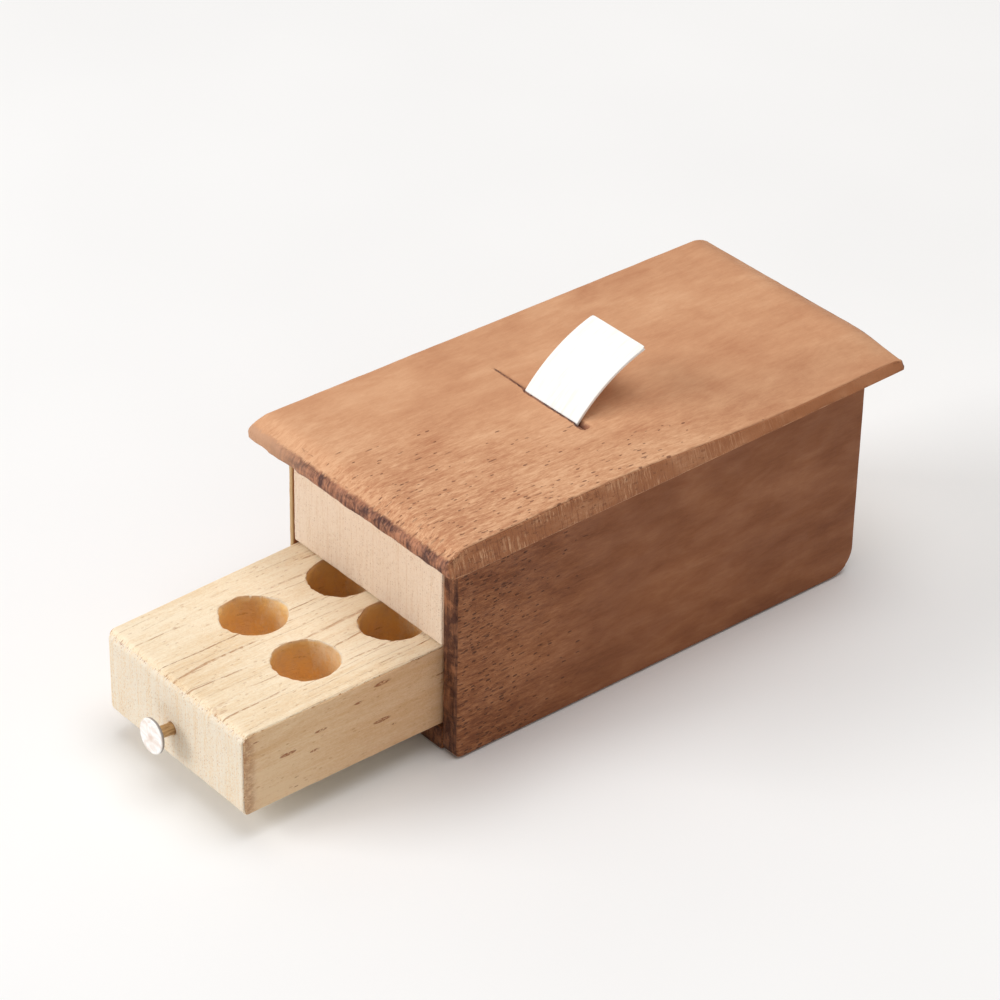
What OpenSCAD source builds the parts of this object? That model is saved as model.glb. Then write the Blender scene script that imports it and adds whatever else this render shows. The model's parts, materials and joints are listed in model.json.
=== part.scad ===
// Small wooden puzzle box: a dark case with an overhanging top board, a pale solid drawer
// with drilled cups, and a thin curved slip that stands out of a slot in the top.
// Millimetres. +Z is up, -Y is the front, +X is the right-hand side seen from the front.
// The origin is the centre of the case's underside.

/* [Case] */
// Width of the case over its two side boards
case_w = 25.4; // [21:0.1:36]
// Length of the case from front to back
case_l = 50.8; // [46:0.1:64]
// Height of the case under its top board
case_h = 23; // [19:0.1:32]
// Thickness of the right side board
side_t = 2.1; // [1.5:0.1:3]
// Thickness of the left side board, which is sawn thinner
left_side_t = 0.9; // [0.8:0.1:3]
// Thickness of the floor board
floor_t = 2.5; // [1.5:0.1:4]
// Thickness of the front and back panels
panel_t = 2.2; // [1.5:0.1:4]
// Height of the opening that the drawer runs in
opening_h = 9.2; // [8.6:0.1:11]
// Size of the small flat that breaks the case's outer upright corners
corner_ease = 0.5; // [0.1:0.1:1]

/* [Top board] */
// Thickness of the top board
top_t = 2.4; // [1.8:0.1:4]
// How far the top board's lower edge stands out past the left side and the back right corner
side_overhang = 2; // [0.5:0.1:4]
// How far it stands out at the front right corner, where the saw ran wide
wide_overhang = 3.2; // [0.5:0.1:5]
// How far it stands out past the front and the back
end_overhang = 3.4; // [0.5:0.1:6]
// How far the upper edge is set back from the lower edge along the sides
side_bevel = 0.8; // [0.2:0.1:1.6]
// How far the upper edge is set back from the lower edge at the ends
end_bevel = 1.4; // [0.2:0.1:2]

/* [Drawer] */
// How far the drawer stands out of the case at rest
drawer_out = 22.3; // [0:0.1:30]
// How much narrower the drawer is on its left at the front end than at the case
drawer_taper = 0.85; // [0:0.05:1.2]
// Gap between the drawer and each side board
drawer_side_gap = 0.2; // [0.1:0.05:0.4]
// Gap between the drawer and the floor board
drawer_floor_gap = 0.05; // [0.02:0.01:0.1]
// Gap between the drawer and what is above it
drawer_head_gap = 0.15; // [0.1:0.05:0.4]
// Gap between the closed drawer and the back panel
drawer_back_gap = 0.6; // [0.2:0.1:2]
// Diameter of the drilled cups
cup_d = 6.35; // [5:0.05:7]
// Depth of a cup's straight wall
cup_wall_h = 4.6; // [4.1:0.1:5]
// Depth of the drill point below the straight wall
cup_point_h = 1.8; // [0.5:0.1:1.9]
// Distance between the two columns of cups
cup_column_pitch = 8.6; // [7.6:0.1:9]
// Distance between one row of cups and the next
cup_row_pitch = 10.1; // [7.6:0.1:12]
// Distance from the drawer's front to the first row of cups
cup_first_row = 12.1; // [8:0.1:16]
// How much nearer the front the right-hand column was drilled
cup_skew = 0.5; // [0:0.1:1]
// Least wood left behind the last row of cups
cup_end_wood = 2; // [1:0.1:6]

/* [Knob] */
// Diameter of the pin
pin_d = 1.15; // [0.8:0.05:1.6]
// How far the pin stands out of the drawer's front, to the back of its head
pin_reach = 2; // [1.5:0.1:5]
// Depth of the pin's hole in the drawer
pin_hole_depth = 5; // [3:0.1:6]
// Glue gap round the pin
pin_glue_gap = 0.02; // [0.01:0.01:0.05]
// Diameter of the flat head
head_d = 3.45; // [2.5:0.05:6]
// Thickness of the flat head
head_t = 0.45; // [0.4:0.05:1.2]
// How far the knob sits below the middle of the drawer's front
knob_drop = 0.7; // [0:0.1:1]
// How far left of the case's middle the knob sits
knob_shift = 0.55; // [0:0.05:2]

/* [Slip] */
// Width of the slip
slip_w = 7.6; // [5:0.1:10]
// Thickness of the slip
slip_t = 0.35; // [0.2:0.05:0.6]
// Radius that the slip is curved to, at the middle of its thickness
slip_r = 16.7; // [14:0.1:20]
// Slope of the slip where it leaves the slot, in degrees
slip_slope = 48.6; // [44:0.1:52]
// Length of curve that stands above the top, in degrees
slip_shown = 33; // [15:1:50]
// How far the slip can be pushed further in, in degrees of its curve
slip_push = 11; // [4:1:12]
// How far right of the middle the slip stands in its slot
slip_shift = 1.6; // [0:0.1:2.5]
// How far in front of the case's middle the slot opens
slot_forward = 5; // [3:0.1:8]
// Length of the slot across the top board
slot_l = 13.6; // [12.8:0.1:16]
// Gap between the slip and the slot on each face of the slip
slot_gap = 0.22; // [0.15:0.01:0.3]
// Gap between the slip's foot and the drawer when the slip is pushed right in
foot_gap = 0.4; // [0.2:0.1:1]

/* [Inner rails and guides] */
// Width of the rails that keep the drawer level
rail_w = 2; // [1:0.1:3]
// Height of the rails
rail_h = 2; // [1:0.1:3]
// Height of the two blocks that guide the slip under the top
guide_h = 6.5; // [4:0.1:7]
// Least thickness of the guide blocks
guide_t = 2.6; // [1.5:0.1:4]

/* [Hidden] */
$fn = 96;

mahogany = [0.55, 0.33, 0.21];
mahogany_top = [0.72, 0.47, 0.33];
pale_wood = [0.92, 0.82, 0.68];
pearl = [0.93, 0.92, 0.9];

half_w = case_w / 2;
half_l = case_l / 2;
inner_left = -half_w + left_side_t;
inner_right = half_w - side_t;
inner_w = inner_right - inner_left;
opening_top = floor_t + opening_h;
cut = 1; // how far a cutting solid runs past the face it opens

drawer_left = inner_left + drawer_side_gap;
drawer_right = inner_right - drawer_side_gap;
drawer_h = opening_h - drawer_floor_gap - drawer_head_gap;
drawer_l = case_l - panel_t - drawer_back_gap;
drawer_bottom = floor_t + drawer_floor_gap;
drawer_top = drawer_bottom + drawer_h;
drawer_front = -half_l - drawer_out;
cup_rows = floor((drawer_l - cup_first_row - cup_d / 2 - cup_end_wood) / cup_row_pitch) + 1;
knob_z = drawer_bottom + drawer_h / 2 - knob_drop;

top_z = case_h + top_t;
slot_r_out = slip_r + slip_t / 2 + slot_gap;
slot_r_in = slip_r - slip_t / 2 - slot_gap;
// The slip is an arc about an axis that runs across the box, behind the slot. An angle of
// zero points forward from that axis, and angles grow upwards.
mouth_angle = 90 - slip_slope;
axis_y = slip_r * cos(mouth_angle) - slot_forward;
axis_z = top_z - slip_r * sin(mouth_angle);
foot_low_angle = asin((drawer_top + foot_gap - axis_z) / slip_r);
foot_angle = foot_low_angle + slip_push;
tip_angle = mouth_angle + slip_shown;
guide_low_z = case_h - guide_h;

// A side board with its outer upright corners broken; side is -1 for left and 1 for right.
module side_board(side) {
    t = side < 0 ? left_side_t : side_t;
    outline = [[0, -half_l], [t - corner_ease, -half_l], [t, -half_l + corner_ease],
               [t, half_l - corner_ease], [t - corner_ease, half_l], [0, half_l]];
    color(mahogany)
        mirror([side < 0 ? 1 : 0, 0, 0])
            translate([half_w - t, 0, 0])
                linear_extrude(case_h)
                    polygon(outline);
}

module left_side() {
    side_board(-1);
}

module right_side() {
    side_board(1);
}

module floor_board() {
    color(mahogany)
        translate([inner_left, -half_l, 0])
            cube([inner_w, case_l, floor_t]);
}

module back_panel() {
    color(pale_wood)
        translate([inner_left, half_l - panel_t, floor_t])
            cube([inner_w, panel_t, case_h - floor_t]);
}

module front_panel() {
    color(pale_wood)
        translate([inner_left, -half_l, opening_top])
            cube([inner_w, panel_t, case_h - opening_top]);
}

// Everything between the two faces of the curved slot, from the slot's mouth downwards.
module slot_space() {
    difference() {
        across(slot_l) circle(slot_r_out);
        across(slot_l + 2 * cut) circle(slot_r_in);
        translate([-slot_l, axis_y, axis_z - 2 * slip_r])
            cube([2 * slot_l, 2 * slip_r, 4 * slip_r]);
    }
}

// Carries a flat shape across the box about the slip's axis, centred on the box.
module across(length) {
    translate([length / 2, axis_y, axis_z])
        rotate([90, 0, -90])
            linear_extrude(length)
                children();
}

// The top board is what three outlines share: its plan, its end view and its side view.
module top_board() {
    left = half_w + side_overhang;
    right_front = half_w + wide_overhang;
    right_back = half_w + side_overhang;
    end = half_l + end_overhang;
    plan = [[-left, -end], [right_front, -end], [right_back, end], [-left, end]];
    end_view = [[-left, 0], [right_front, 0], [right_front - side_bevel, top_t],
                [-left + side_bevel, top_t]];
    side_view = [[-end, 0], [end, 0], [end - end_bevel, top_t], [-end + end_bevel, top_t]];
    color(mahogany_top)
        difference() {
            translate([0, 0, case_h])
                intersection() {
                    linear_extrude(top_t) polygon(plan);
                    translate([0, end, 0]) rotate([90, 0, 0]) linear_extrude(2 * end) polygon(end_view);
                    translate([-right_front, 0, 0])
                        rotate([90, 0, 90])
                            linear_extrude(2 * right_front)
                                polygon(side_view);
                }
            slot_space();
        }
}

// A rail along the inside of one side, just above the drawer; side is -1 or 1.
module rail(side) {
    rail_l = case_l - 2 * panel_t;
    color(pale_wood)
        translate([side < 0 ? inner_left : inner_right - rail_w, -rail_l / 2, opening_top])
            cube([rail_w, rail_l, rail_h]);
}

module left_rail() {
    rail(-1);
}

module right_rail() {
    rail(1);
}

// Where the slot's middle line stands at a given height.
function slot_y(z) = axis_y - slip_r * cos(asin((z - axis_z) / slip_r));

module slip_guide_front() {
    front = min(slot_y(guide_low_z), slot_y(case_h)) - guide_t;
    color(pale_wood)
        difference() {
            translate([-slot_l / 2, front, guide_low_z])
                cube([slot_l, axis_y - front, guide_h]);
            across(slot_l + 2 * cut) circle(slot_r_out);
        }
}

module slip_guide_rear() {
    back = max(slot_y(guide_low_z), slot_y(case_h)) + guide_t;
    color(pale_wood)
        intersection() {
            translate([-slot_l / 2, axis_y - 2 * slip_r, guide_low_z])
                cube([slot_l, back - axis_y + 2 * slip_r, guide_h]);
            across(slot_l + 2 * cut) circle(slot_r_in);
        }
}

// One blind cup with a drill-point bottom, opening upwards at the origin.
module cup() {
    translate([0, 0, -cup_wall_h]) cylinder(d = cup_d, h = cup_wall_h + cut);
    translate([0, 0, -cup_wall_h - cup_point_h]) cylinder(d1 = 0, d2 = cup_d, h = cup_point_h);
}

module drawer_block() {
    mouth = min(drawer_front + drawer_l, max(-half_l, drawer_front + 1));
    plan = [[drawer_left + drawer_taper, drawer_front], [drawer_right, drawer_front],
            [drawer_right, drawer_front + drawer_l], [drawer_left, drawer_front + drawer_l],
            [drawer_left, mouth]];
    color(pale_wood)
        difference() {
            translate([0, 0, drawer_bottom])
                linear_extrude(drawer_h)
                    polygon(plan);
            for (row = [0 : cup_rows - 1], column = [0, 1])
                translate([(column - 0.5) * cup_column_pitch,
                           drawer_front + cup_first_row + row * cup_row_pitch - column * cup_skew,
                           drawer_top])
                    cup();
            translate([-knob_shift, drawer_front + pin_hole_depth, knob_z])
                rotate([90, 0, 0])
                    cylinder(d = pin_d + 2 * pin_glue_gap, h = pin_hole_depth + cut);
        }
}

module knob_pin() {
    color(pale_wood)
        translate([-knob_shift, drawer_front + pin_hole_depth, knob_z])
            rotate([90, 0, 0])
                cylinder(d = pin_d, h = pin_hole_depth + pin_reach + head_t);
}

module knob_head() {
    color(pearl)
        translate([-knob_shift, drawer_front - pin_reach, knob_z])
            rotate([90, 0, 0])
                difference() {
                    cylinder(d = head_d, h = head_t);
                    translate([0, 0, -cut])
                        cylinder(d = pin_d + 2 * pin_glue_gap, h = head_t + 2 * cut);
                }
}

module catch_slip() {
    color("white")
        translate([slip_shift + slip_w / 2, axis_y, axis_z])
            rotate([90, 0, -90])
                rotate([0, 0, foot_angle])
                    rotate_extrude(angle = tip_angle - foot_angle)
                        translate([slip_r - slip_t / 2, 0])
                            square([slip_t, slip_w]);
}

left_side();
right_side();
floor_board();
back_panel();
front_panel();
top_board();
left_rail();
right_rail();
slip_guide_front();
slip_guide_rear();
drawer_block();
knob_pin();
knob_head();
catch_slip();
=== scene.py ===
"""Looks of a small wooden puzzle box: a lidded case, a drawer with cups, a pearl knob and a bent catch slip.

Lengths inside the mesh code are millimetres in the model's frame: +Z up, -Y the front, +X the right.
"""

import json
import logging
import math
from collections.abc import Callable, Iterator
from dataclasses import dataclass, field
from enum import IntEnum

import bpy
import numpy as np
from mathutils import Matrix, Vector


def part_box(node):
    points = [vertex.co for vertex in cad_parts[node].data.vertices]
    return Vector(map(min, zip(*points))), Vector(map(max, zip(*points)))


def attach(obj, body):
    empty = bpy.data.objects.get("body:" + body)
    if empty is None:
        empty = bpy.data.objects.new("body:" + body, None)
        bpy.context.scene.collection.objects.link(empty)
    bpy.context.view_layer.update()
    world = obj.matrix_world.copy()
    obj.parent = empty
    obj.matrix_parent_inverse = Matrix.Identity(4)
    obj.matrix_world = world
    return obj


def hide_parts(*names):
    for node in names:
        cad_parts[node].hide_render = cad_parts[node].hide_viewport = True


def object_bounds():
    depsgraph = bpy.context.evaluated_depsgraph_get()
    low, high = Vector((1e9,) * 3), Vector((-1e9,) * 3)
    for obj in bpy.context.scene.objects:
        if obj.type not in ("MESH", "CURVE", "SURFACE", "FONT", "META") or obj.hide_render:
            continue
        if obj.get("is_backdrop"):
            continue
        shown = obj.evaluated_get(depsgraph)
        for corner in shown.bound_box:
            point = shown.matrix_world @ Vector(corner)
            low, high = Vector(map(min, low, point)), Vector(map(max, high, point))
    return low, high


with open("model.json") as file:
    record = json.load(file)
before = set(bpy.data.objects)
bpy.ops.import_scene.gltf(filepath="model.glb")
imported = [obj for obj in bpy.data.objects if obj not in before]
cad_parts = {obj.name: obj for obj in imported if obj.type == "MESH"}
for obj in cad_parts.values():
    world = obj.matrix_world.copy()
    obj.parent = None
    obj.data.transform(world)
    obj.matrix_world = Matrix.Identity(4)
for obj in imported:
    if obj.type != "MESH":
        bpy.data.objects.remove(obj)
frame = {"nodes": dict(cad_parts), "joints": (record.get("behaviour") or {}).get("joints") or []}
CAD_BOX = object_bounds()

log = logging.getLogger("puzzle_box")
METRE = 0.001  # one millimetre, in metres
WELD = 1.3e-4  # cell of the grid on which welded points meet, mm
WELD_SHIFT = 0.37  # keeps that grid's borders off round numbers, in cells
HASH_STEPS = (374761393, 668265263, 69069069)  # large odd factors that scatter the lattice values
HASH_SEED = 144665453
HASH_MIX = 1274126177
SLIP_RADIUS = 16.7  # radius of the slip's arc and of its kerf, mm

Tone = tuple[float, float, float]
Array = np.ndarray
Socket = bpy.types.NodeSocket
Value = Socket | float | Tone | None


class Axis(IntEnum):
    """The three directions of the frame."""

    X = 0
    Y = 1
    Z = 2


class Side(IntEnum):
    """The low or the high side of a block along one axis."""

    LOW = 0
    HIGH = 1


X, Y, Z = Axis.X, Axis.Y, Axis.Z
LOW, HIGH = Side.LOW, Side.HIGH


def tone(red: int, green: int, blue: int) -> Tone:
    """Linear colour of an 8-bit display colour.

    Args:
        red: Red, 0 to 255.
        green: Green, 0 to 255.
        blue: Blue, 0 to 255.

    Returns:
        The colour as three linear numbers.
    """
    shares = [v / 255 for v in (red, green, blue)]
    linear = [s / 12.92 if s <= 0.04045 else ((s + 0.055) / 1.055) ** 2.4 for s in shares]
    return linear[0], linear[1], linear[2]


def box_mm(node: str) -> tuple[Array, Array]:
    """Lowest and highest corner of a CAD node.

    Args:
        node: The node's name.

    Returns:
        The two corners, in millimetres.
    """
    low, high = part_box(node)
    return np.array(low) / METRE, np.array(high) / METRE


def slip_axis() -> Array:
    """A point on the axis that the slip turns about, mm."""
    joint = next(j for j in frame["joints"] if j["name"] == "slip_slide")
    return np.array(joint["pos_m"]) / METRE


def peg_root() -> Array:
    """Middle of the peg's hole on the drawer's front, mm."""
    low, high = box_mm("knob_pin")
    return np.array([(low[0] + high[0]) / 2, box_mm("drawer_block")[0][1], (low[2] + high[2]) / 2])


def smooth(value: Array, start: float, stop: float) -> Array:
    """Smooth step: 0 before start, 1 after stop, and 3t^2 - 2t^3 between them.

    Args:
        value: Any array.
        start: Where the step begins.
        stop: Where the step ends; it may be lower than start.

    Returns:
        An array of the same shape.
    """
    t = np.clip((value - start) / (stop - start), 0, 1)
    return t * t * (3 - 2 * t)


@dataclass(frozen=True)
class Grain:
    """Seeded value noise in space: hashed lattice values blended smoothly and summed over octaves.

    Attributes:
        cell: Lattice spacing along X, Y and Z, in mm.
        seed: Picks another pattern.
        octaves: How many layers, each twice as fine and half as strong.
    """

    cell: tuple[float, float, float]
    seed: int = 0
    octaves: int = 3

    @staticmethod
    def _lattice(corner: Array, seed: int) -> Array:
        """Pseudo-random value in -1..1 of each whole-number corner.

        Args:
            corner: Whole numbers, shape (n, 3).
            seed: Picks another pattern.

        Returns:
            One value for each corner.
        """
        mixed = (corner @ np.array(HASH_STEPS) + seed * HASH_SEED) & 0xFFFFFFFF
        mixed = ((mixed ^ (mixed >> 13)) * HASH_MIX) & 0xFFFFFFFF
        return ((mixed ^ (mixed >> 16)) & 0xFFFFFF) / 0x7FFFFF - 1

    def at(self, points: Array) -> Array:
        """Noise at points: trilinear blend of the eight lattice corners with smoothed weights.

        Args:
            points: Array of shape (..., 3).

        Returns:
            Array of shape (...), about -1 to 1.
        """
        flat = points.reshape(-1, 3) / np.array(self.cell)
        total = np.zeros(len(flat))
        for octave in range(self.octaves):
            scaled = flat * 2**octave + 17.3 * octave
            base = np.floor(scaled).astype(np.int64)
            part = scaled - base
            part = part * part * (3 - 2 * part)
            for corner in range(8):
                step = np.array([corner & 1, corner >> 1 & 1, corner >> 2 & 1])
                weight = np.prod(np.where(step, part, 1 - part), axis=1)
                total += weight * self._lattice(base + step, self.seed + octave) / 2**octave
        return total.reshape(points.shape[:-1])


class Shell:
    """Collects grids of points, welds them into one closed surface and makes it a mesh object."""

    def __init__(self) -> None:
        """An empty shell."""
        self._points: list[Array] = []
        self._faces: list[Array] = []
        self._tags: list[dict[str, Array]] = []
        self._count = 0
        self.points = np.zeros((0, 3))
        self.quads = np.zeros((0, 4), np.int64)
        self.tags: dict[str, Array] = {}

    def add(
        self, points: Array, flip: bool = False, keep: Array | None = None, **tags: Array | float
    ) -> None:
        """Adds one grid, or a batch of grids, of points.

        Args:
            points: Shape (..., rows, columns, 3).
            flip: Turns the faces over.
            keep: Which grid cells to fill, shape (rows - 1, columns - 1); all when left out.
            tags: Named values of the points, each one number or shape (..., rows, columns).
        """
        shape = points.shape[:-1]
        index = np.arange(int(np.prod(shape))).reshape(shape) + self._count
        corners = [index[..., :-1, :-1], index[..., 1:, :-1], index[..., 1:, 1:], index[..., :-1, 1:]]
        faces = np.stack(corners[::-1] if flip else corners, axis=-1)
        faces = faces.reshape(-1, 4) if keep is None else faces[keep]
        self._points.append(points.reshape(-1, 3))
        self._faces.append(faces)
        self._tags.append({k: np.broadcast_to(v, shape).reshape(-1).astype(float) for k, v in tags.items()})
        self._count += index.size

    def weld(self) -> None:
        """Joins points that lie together, drops unused ones, and tags the faces across Y and across X.

        A point lies on an end where its normal is mostly along Y, and on a side where it is more along X
        than along Z.
        """
        points = np.concatenate(self._points)
        names = sorted({name for tags in self._tags for name in tags})
        tags = {
            name: np.concatenate([t.get(name, np.zeros(len(p))) for t, p in zip(self._tags, self._points)])
            for name in names
        }
        faces = np.concatenate(self._faces)
        used = np.unique(faces)
        keys = np.round(points[used] / WELD + WELD_SHIFT).astype(np.int64)
        _, first, inverse = np.unique(keys, axis=0, return_index=True, return_inverse=True)
        place = np.zeros(len(points), np.int64)
        place[used] = inverse.reshape(-1)
        self.points = points[used][first]
        self.tags = {name: value[used][first] for name, value in tags.items()}
        self.quads = place[faces]
        size = np.abs(self.normals())
        end = np.clip((size[:, 1] - np.maximum(size[:, 0], size[:, 2])) * 1.3 + 0.5, 0, 1)
        self.tags["end"] = end
        self.tags["side"] = np.clip((size[:, 0] - size[:, 2]) * 4 + 0.5, 0, 1) * (end < 0.5)

    def normals(self) -> Array:
        """Area-weighted unit normals: the sum of the crossed diagonals of the faces round each point.

        Returns:
            One unit vector for each point.
        """
        p = self.points[self.quads]
        crossed = np.cross(p[:, 2] - p[:, 0], p[:, 3] - p[:, 1])
        index = self.quads.reshape(-1)
        spread = np.repeat(crossed, 4, axis=0)
        summed = np.stack([np.bincount(index, spread[:, k], len(self.points)) for k in range(3)], axis=1)
        return summed / np.maximum(np.linalg.norm(summed, axis=1, keepdims=True), 1e-12)

    def push(self, amount: Callable[[Array, Array, dict[str, Array]], Array]) -> None:
        """Moves each welded point along its normal.

        Args:
            amount: Gives the distance in mm from the points, their normals and their tags.
        """
        normals = self.normals()
        self.points = self.points + normals * amount(self.points, normals, self.tags)[:, None]

    def round_corner(self, y: float, z: float, radius: float) -> None:
        """Turns a square lower corner, seen along X, into a quarter circle by drawing its points inwards.

        Args:
            y: The corner's place along Y; the body lies on the side nearer the origin.
            z: The corner's height; the body lies above it.
            radius: The circle's radius, mm.
        """
        outward = math.copysign(1.0, y)
        middle_y, middle_z = y - outward * radius, z + radius
        across = np.maximum((self.points[:, 1] - middle_y) * outward, 0)
        down = np.maximum(middle_z - self.points[:, 2], 0)
        shrink = np.maximum(across, down) / np.maximum(np.hypot(across, down), 1e-9)
        inside = (across > 0) & (down > 0)
        self.points[inside, 1] = middle_y + outward * (across * shrink)[inside]
        self.points[inside, 2] = middle_z - (down * shrink)[inside]

    def to_object(self, name: str) -> bpy.types.Object:
        """Makes the welded shell an object at the origin, smooth shaded, with its tags as attributes.

        Args:
            name: The piece's name.

        Returns:
            The new object.
        """
        quads = self.quads
        same = quads == np.roll(quads, -1, axis=1)
        whole = quads[same.sum(axis=1) == 0]
        thin = quads[same.sum(axis=1) == 1]
        keep = ~same[same.sum(axis=1) == 1]
        thin = thin[keep].reshape(-1, 3)
        corners = np.concatenate([whole.reshape(-1), thin.reshape(-1)])
        starts = np.concatenate([np.arange(len(whole)) * 4, len(whole) * 4 + np.arange(len(thin)) * 3])
        mesh = bpy.data.meshes.new(name)
        mesh.vertices.add(len(self.points))
        mesh.vertices.foreach_set("co", (self.points * METRE).astype(np.float32).ravel())
        mesh.loops.add(len(corners))
        mesh.loops.foreach_set("vertex_index", corners.astype(np.int32))
        mesh.polygons.add(len(starts))
        mesh.polygons.foreach_set("loop_start", starts.astype(np.int32))
        mesh.polygons.foreach_set("use_smooth", np.ones(len(starts), bool))
        mesh.update(calc_edges=True)
        for tag, value in self.tags.items():
            mesh.attributes.new(tag, "FLOAT", "POINT").data.foreach_set("value", value.astype(np.float32))
        mesh.validate()
        piece = bpy.data.objects.new(name, mesh)
        bpy.context.scene.collection.objects.link(piece)
        return piece


@dataclass
class Block:
    """A board with rounded edges, as six grids that share their borders.

    A point is the inner box's point plus the edge radii times the unit direction (ex, ey, ez), where each e
    runs as the tangent of an angle from -45 to 45 degrees over the roundings and is 0 on the flats.

    Attributes:
        low: Lowest corner, mm.
        high: Highest corner, mm.
        radius: Edge radius wherever ease() doesn't set another.
        pitch: Spacing of the points on the flats.
        turn: Steps over half a rounding.
        stops: For an axis, its places on the flat as shares from 0 to 1.
    """

    low: Array
    high: Array
    radius: float
    pitch: float = 0.5
    turn: int = 3
    stops: dict[int, Array] = field(default_factory=dict)

    def __post_init__(self) -> None:
        """Gives every edge the common radius."""
        self.radii = np.full((3, 2, 3, 2), self.radius)

    def ease(self, a: int, a_side: int, b: int, b_side: int, along_a: float, along_b: float) -> None:
        """Sets one edge's two radii, so that its section is a quarter ellipse.

        Args:
            a: First axis across the edge.
            a_side: Side of the block along the first axis.
            b: Second axis across the edge.
            b_side: Side of the block along the second axis.
            along_a: Radius along the first axis.
            along_b: Radius along the second axis.
        """
        self.radii[a, a_side, b, b_side] = along_a
        self.radii[b, b_side, a, a_side] = along_b

    def places(self, axis: int) -> tuple[Array, Array]:
        """Sample places along an axis.

        Args:
            axis: The axis.

        Returns:
            Share of the flat reached, and the direction's component, for each sample.
        """
        length = self.high[axis] - self.low[axis]
        flat = self.stops.get(axis)
        if flat is None:
            flat = np.linspace(0, 1, max(2, int(math.ceil(length / self.pitch))) + 1)
        lean = np.tan(np.linspace(0, math.pi / 4, self.turn + 1))[1:]
        share = np.concatenate([np.zeros(self.turn), flat, np.ones(self.turn)])
        return share, np.concatenate([-lean[::-1], np.zeros(len(flat)), lean])

    def _radius(self, axis: int, side: int, e: Array) -> Array:
        """Radius along an axis: those of the edges it turns towards, weighted by the other components.

        Args:
            axis: The axis.
            side: Its side.
            e: Directions, shape (..., 3).

        Returns:
            One radius for each direction.
        """
        total, weight = np.zeros(e.shape[:-1]), np.full(e.shape[:-1], 1e-12)
        for other in (k for k in range(3) if k != axis):
            size = np.abs(e[..., other])
            high = e[..., other] > 0
            picked = np.where(high, self.radii[axis, side, other, 1], self.radii[axis, side, other, 0])
            total, weight = total + size * picked, weight + size
        return total / weight

    def face(self, axis: int, side: int) -> tuple[Array, Array]:
        """One of the six grids.

        Args:
            axis: The axis that the face looks along.
            side: Its side.

        Returns:
            Points of shape (rows, columns, 3) and how far each is turned over an edge, 0 to 1.
        """
        b, c = (axis + 1) % 3, (axis + 2) % 3
        (share_b, lean_b), (share_c, lean_c) = self.places(b), self.places(c)
        shape = (len(share_b), len(share_c))
        e, share = np.zeros((*shape, 3)), np.zeros((*shape, 3))
        e[..., axis] = 1 if side else -1
        share[..., axis] = side
        e[..., b], e[..., c] = lean_b[:, None], lean_c[None, :]
        share[..., b], share[..., c] = share_b[:, None], share_c[None, :]
        length = np.sqrt(e[..., 0] ** 2 + e[..., 1] ** 2 + e[..., 2] ** 2)
        points = np.zeros((*shape, 3))
        for k in range(3):
            low_r, high_r = self._radius(k, LOW, e), self._radius(k, HIGH, e)
            inner_low, inner_high = self.low[k] + low_r, self.high[k] - high_r
            turned = np.where(e[..., k] > 0, high_r, low_r) * e[..., k] / length
            points[..., k] = inner_low + share[..., k] * (inner_high - inner_low) + turned
        return points, np.clip((length - 1) / 0.42, 0, 1)

    def faces(self) -> Iterator[tuple[int, int, Array, Array]]:
        """All six grids as axis, side, points and turn."""
        for axis in range(3):
            for side in (LOW, HIGH):
                yield axis, side, *self.face(axis, side)

    def fill(self, shell: Shell, **tags: float) -> None:
        """Adds all six grids to a shell.

        Args:
            shell: Where they go.
            tags: Values given to every point.
        """
        for _, side, points, turn in self.faces():
            shell.add(points, flip=side == LOW, edge=turn, **tags)

    def share_of(self, axis: int, place: float, face_axis: int, face_side: int) -> float:
        """The share of the flat at a place, measured on one face.

        Args:
            axis: The axis along which the place is given.
            place: The coordinate in mm.
            face_axis: The axis that the face looks along.
            face_side: Its side.

        Returns:
            The share from 0 to 1.
        """
        low = self.low[axis] + self.radii[axis, LOW, face_axis, face_side]
        high = self.high[axis] - self.radii[axis, HIGH, face_axis, face_side]
        return float((place - low) / (high - low))


def steps_between(shares: list[float], counts: tuple[int, ...]) -> Array:
    """Evenly spaced places between each pair of neighbouring shares.

    Args:
        shares: Rising shares, the first 0 and the last 1.
        counts: Number of steps in each stretch.

    Returns:
        All the places, each share among them.
    """
    runs = [np.linspace(a, b, n + 1)[:-1] for a, b, n in zip(shares[:-1], shares[1:], counts)]
    return np.concatenate([*runs, [shares[-1]]])


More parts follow.
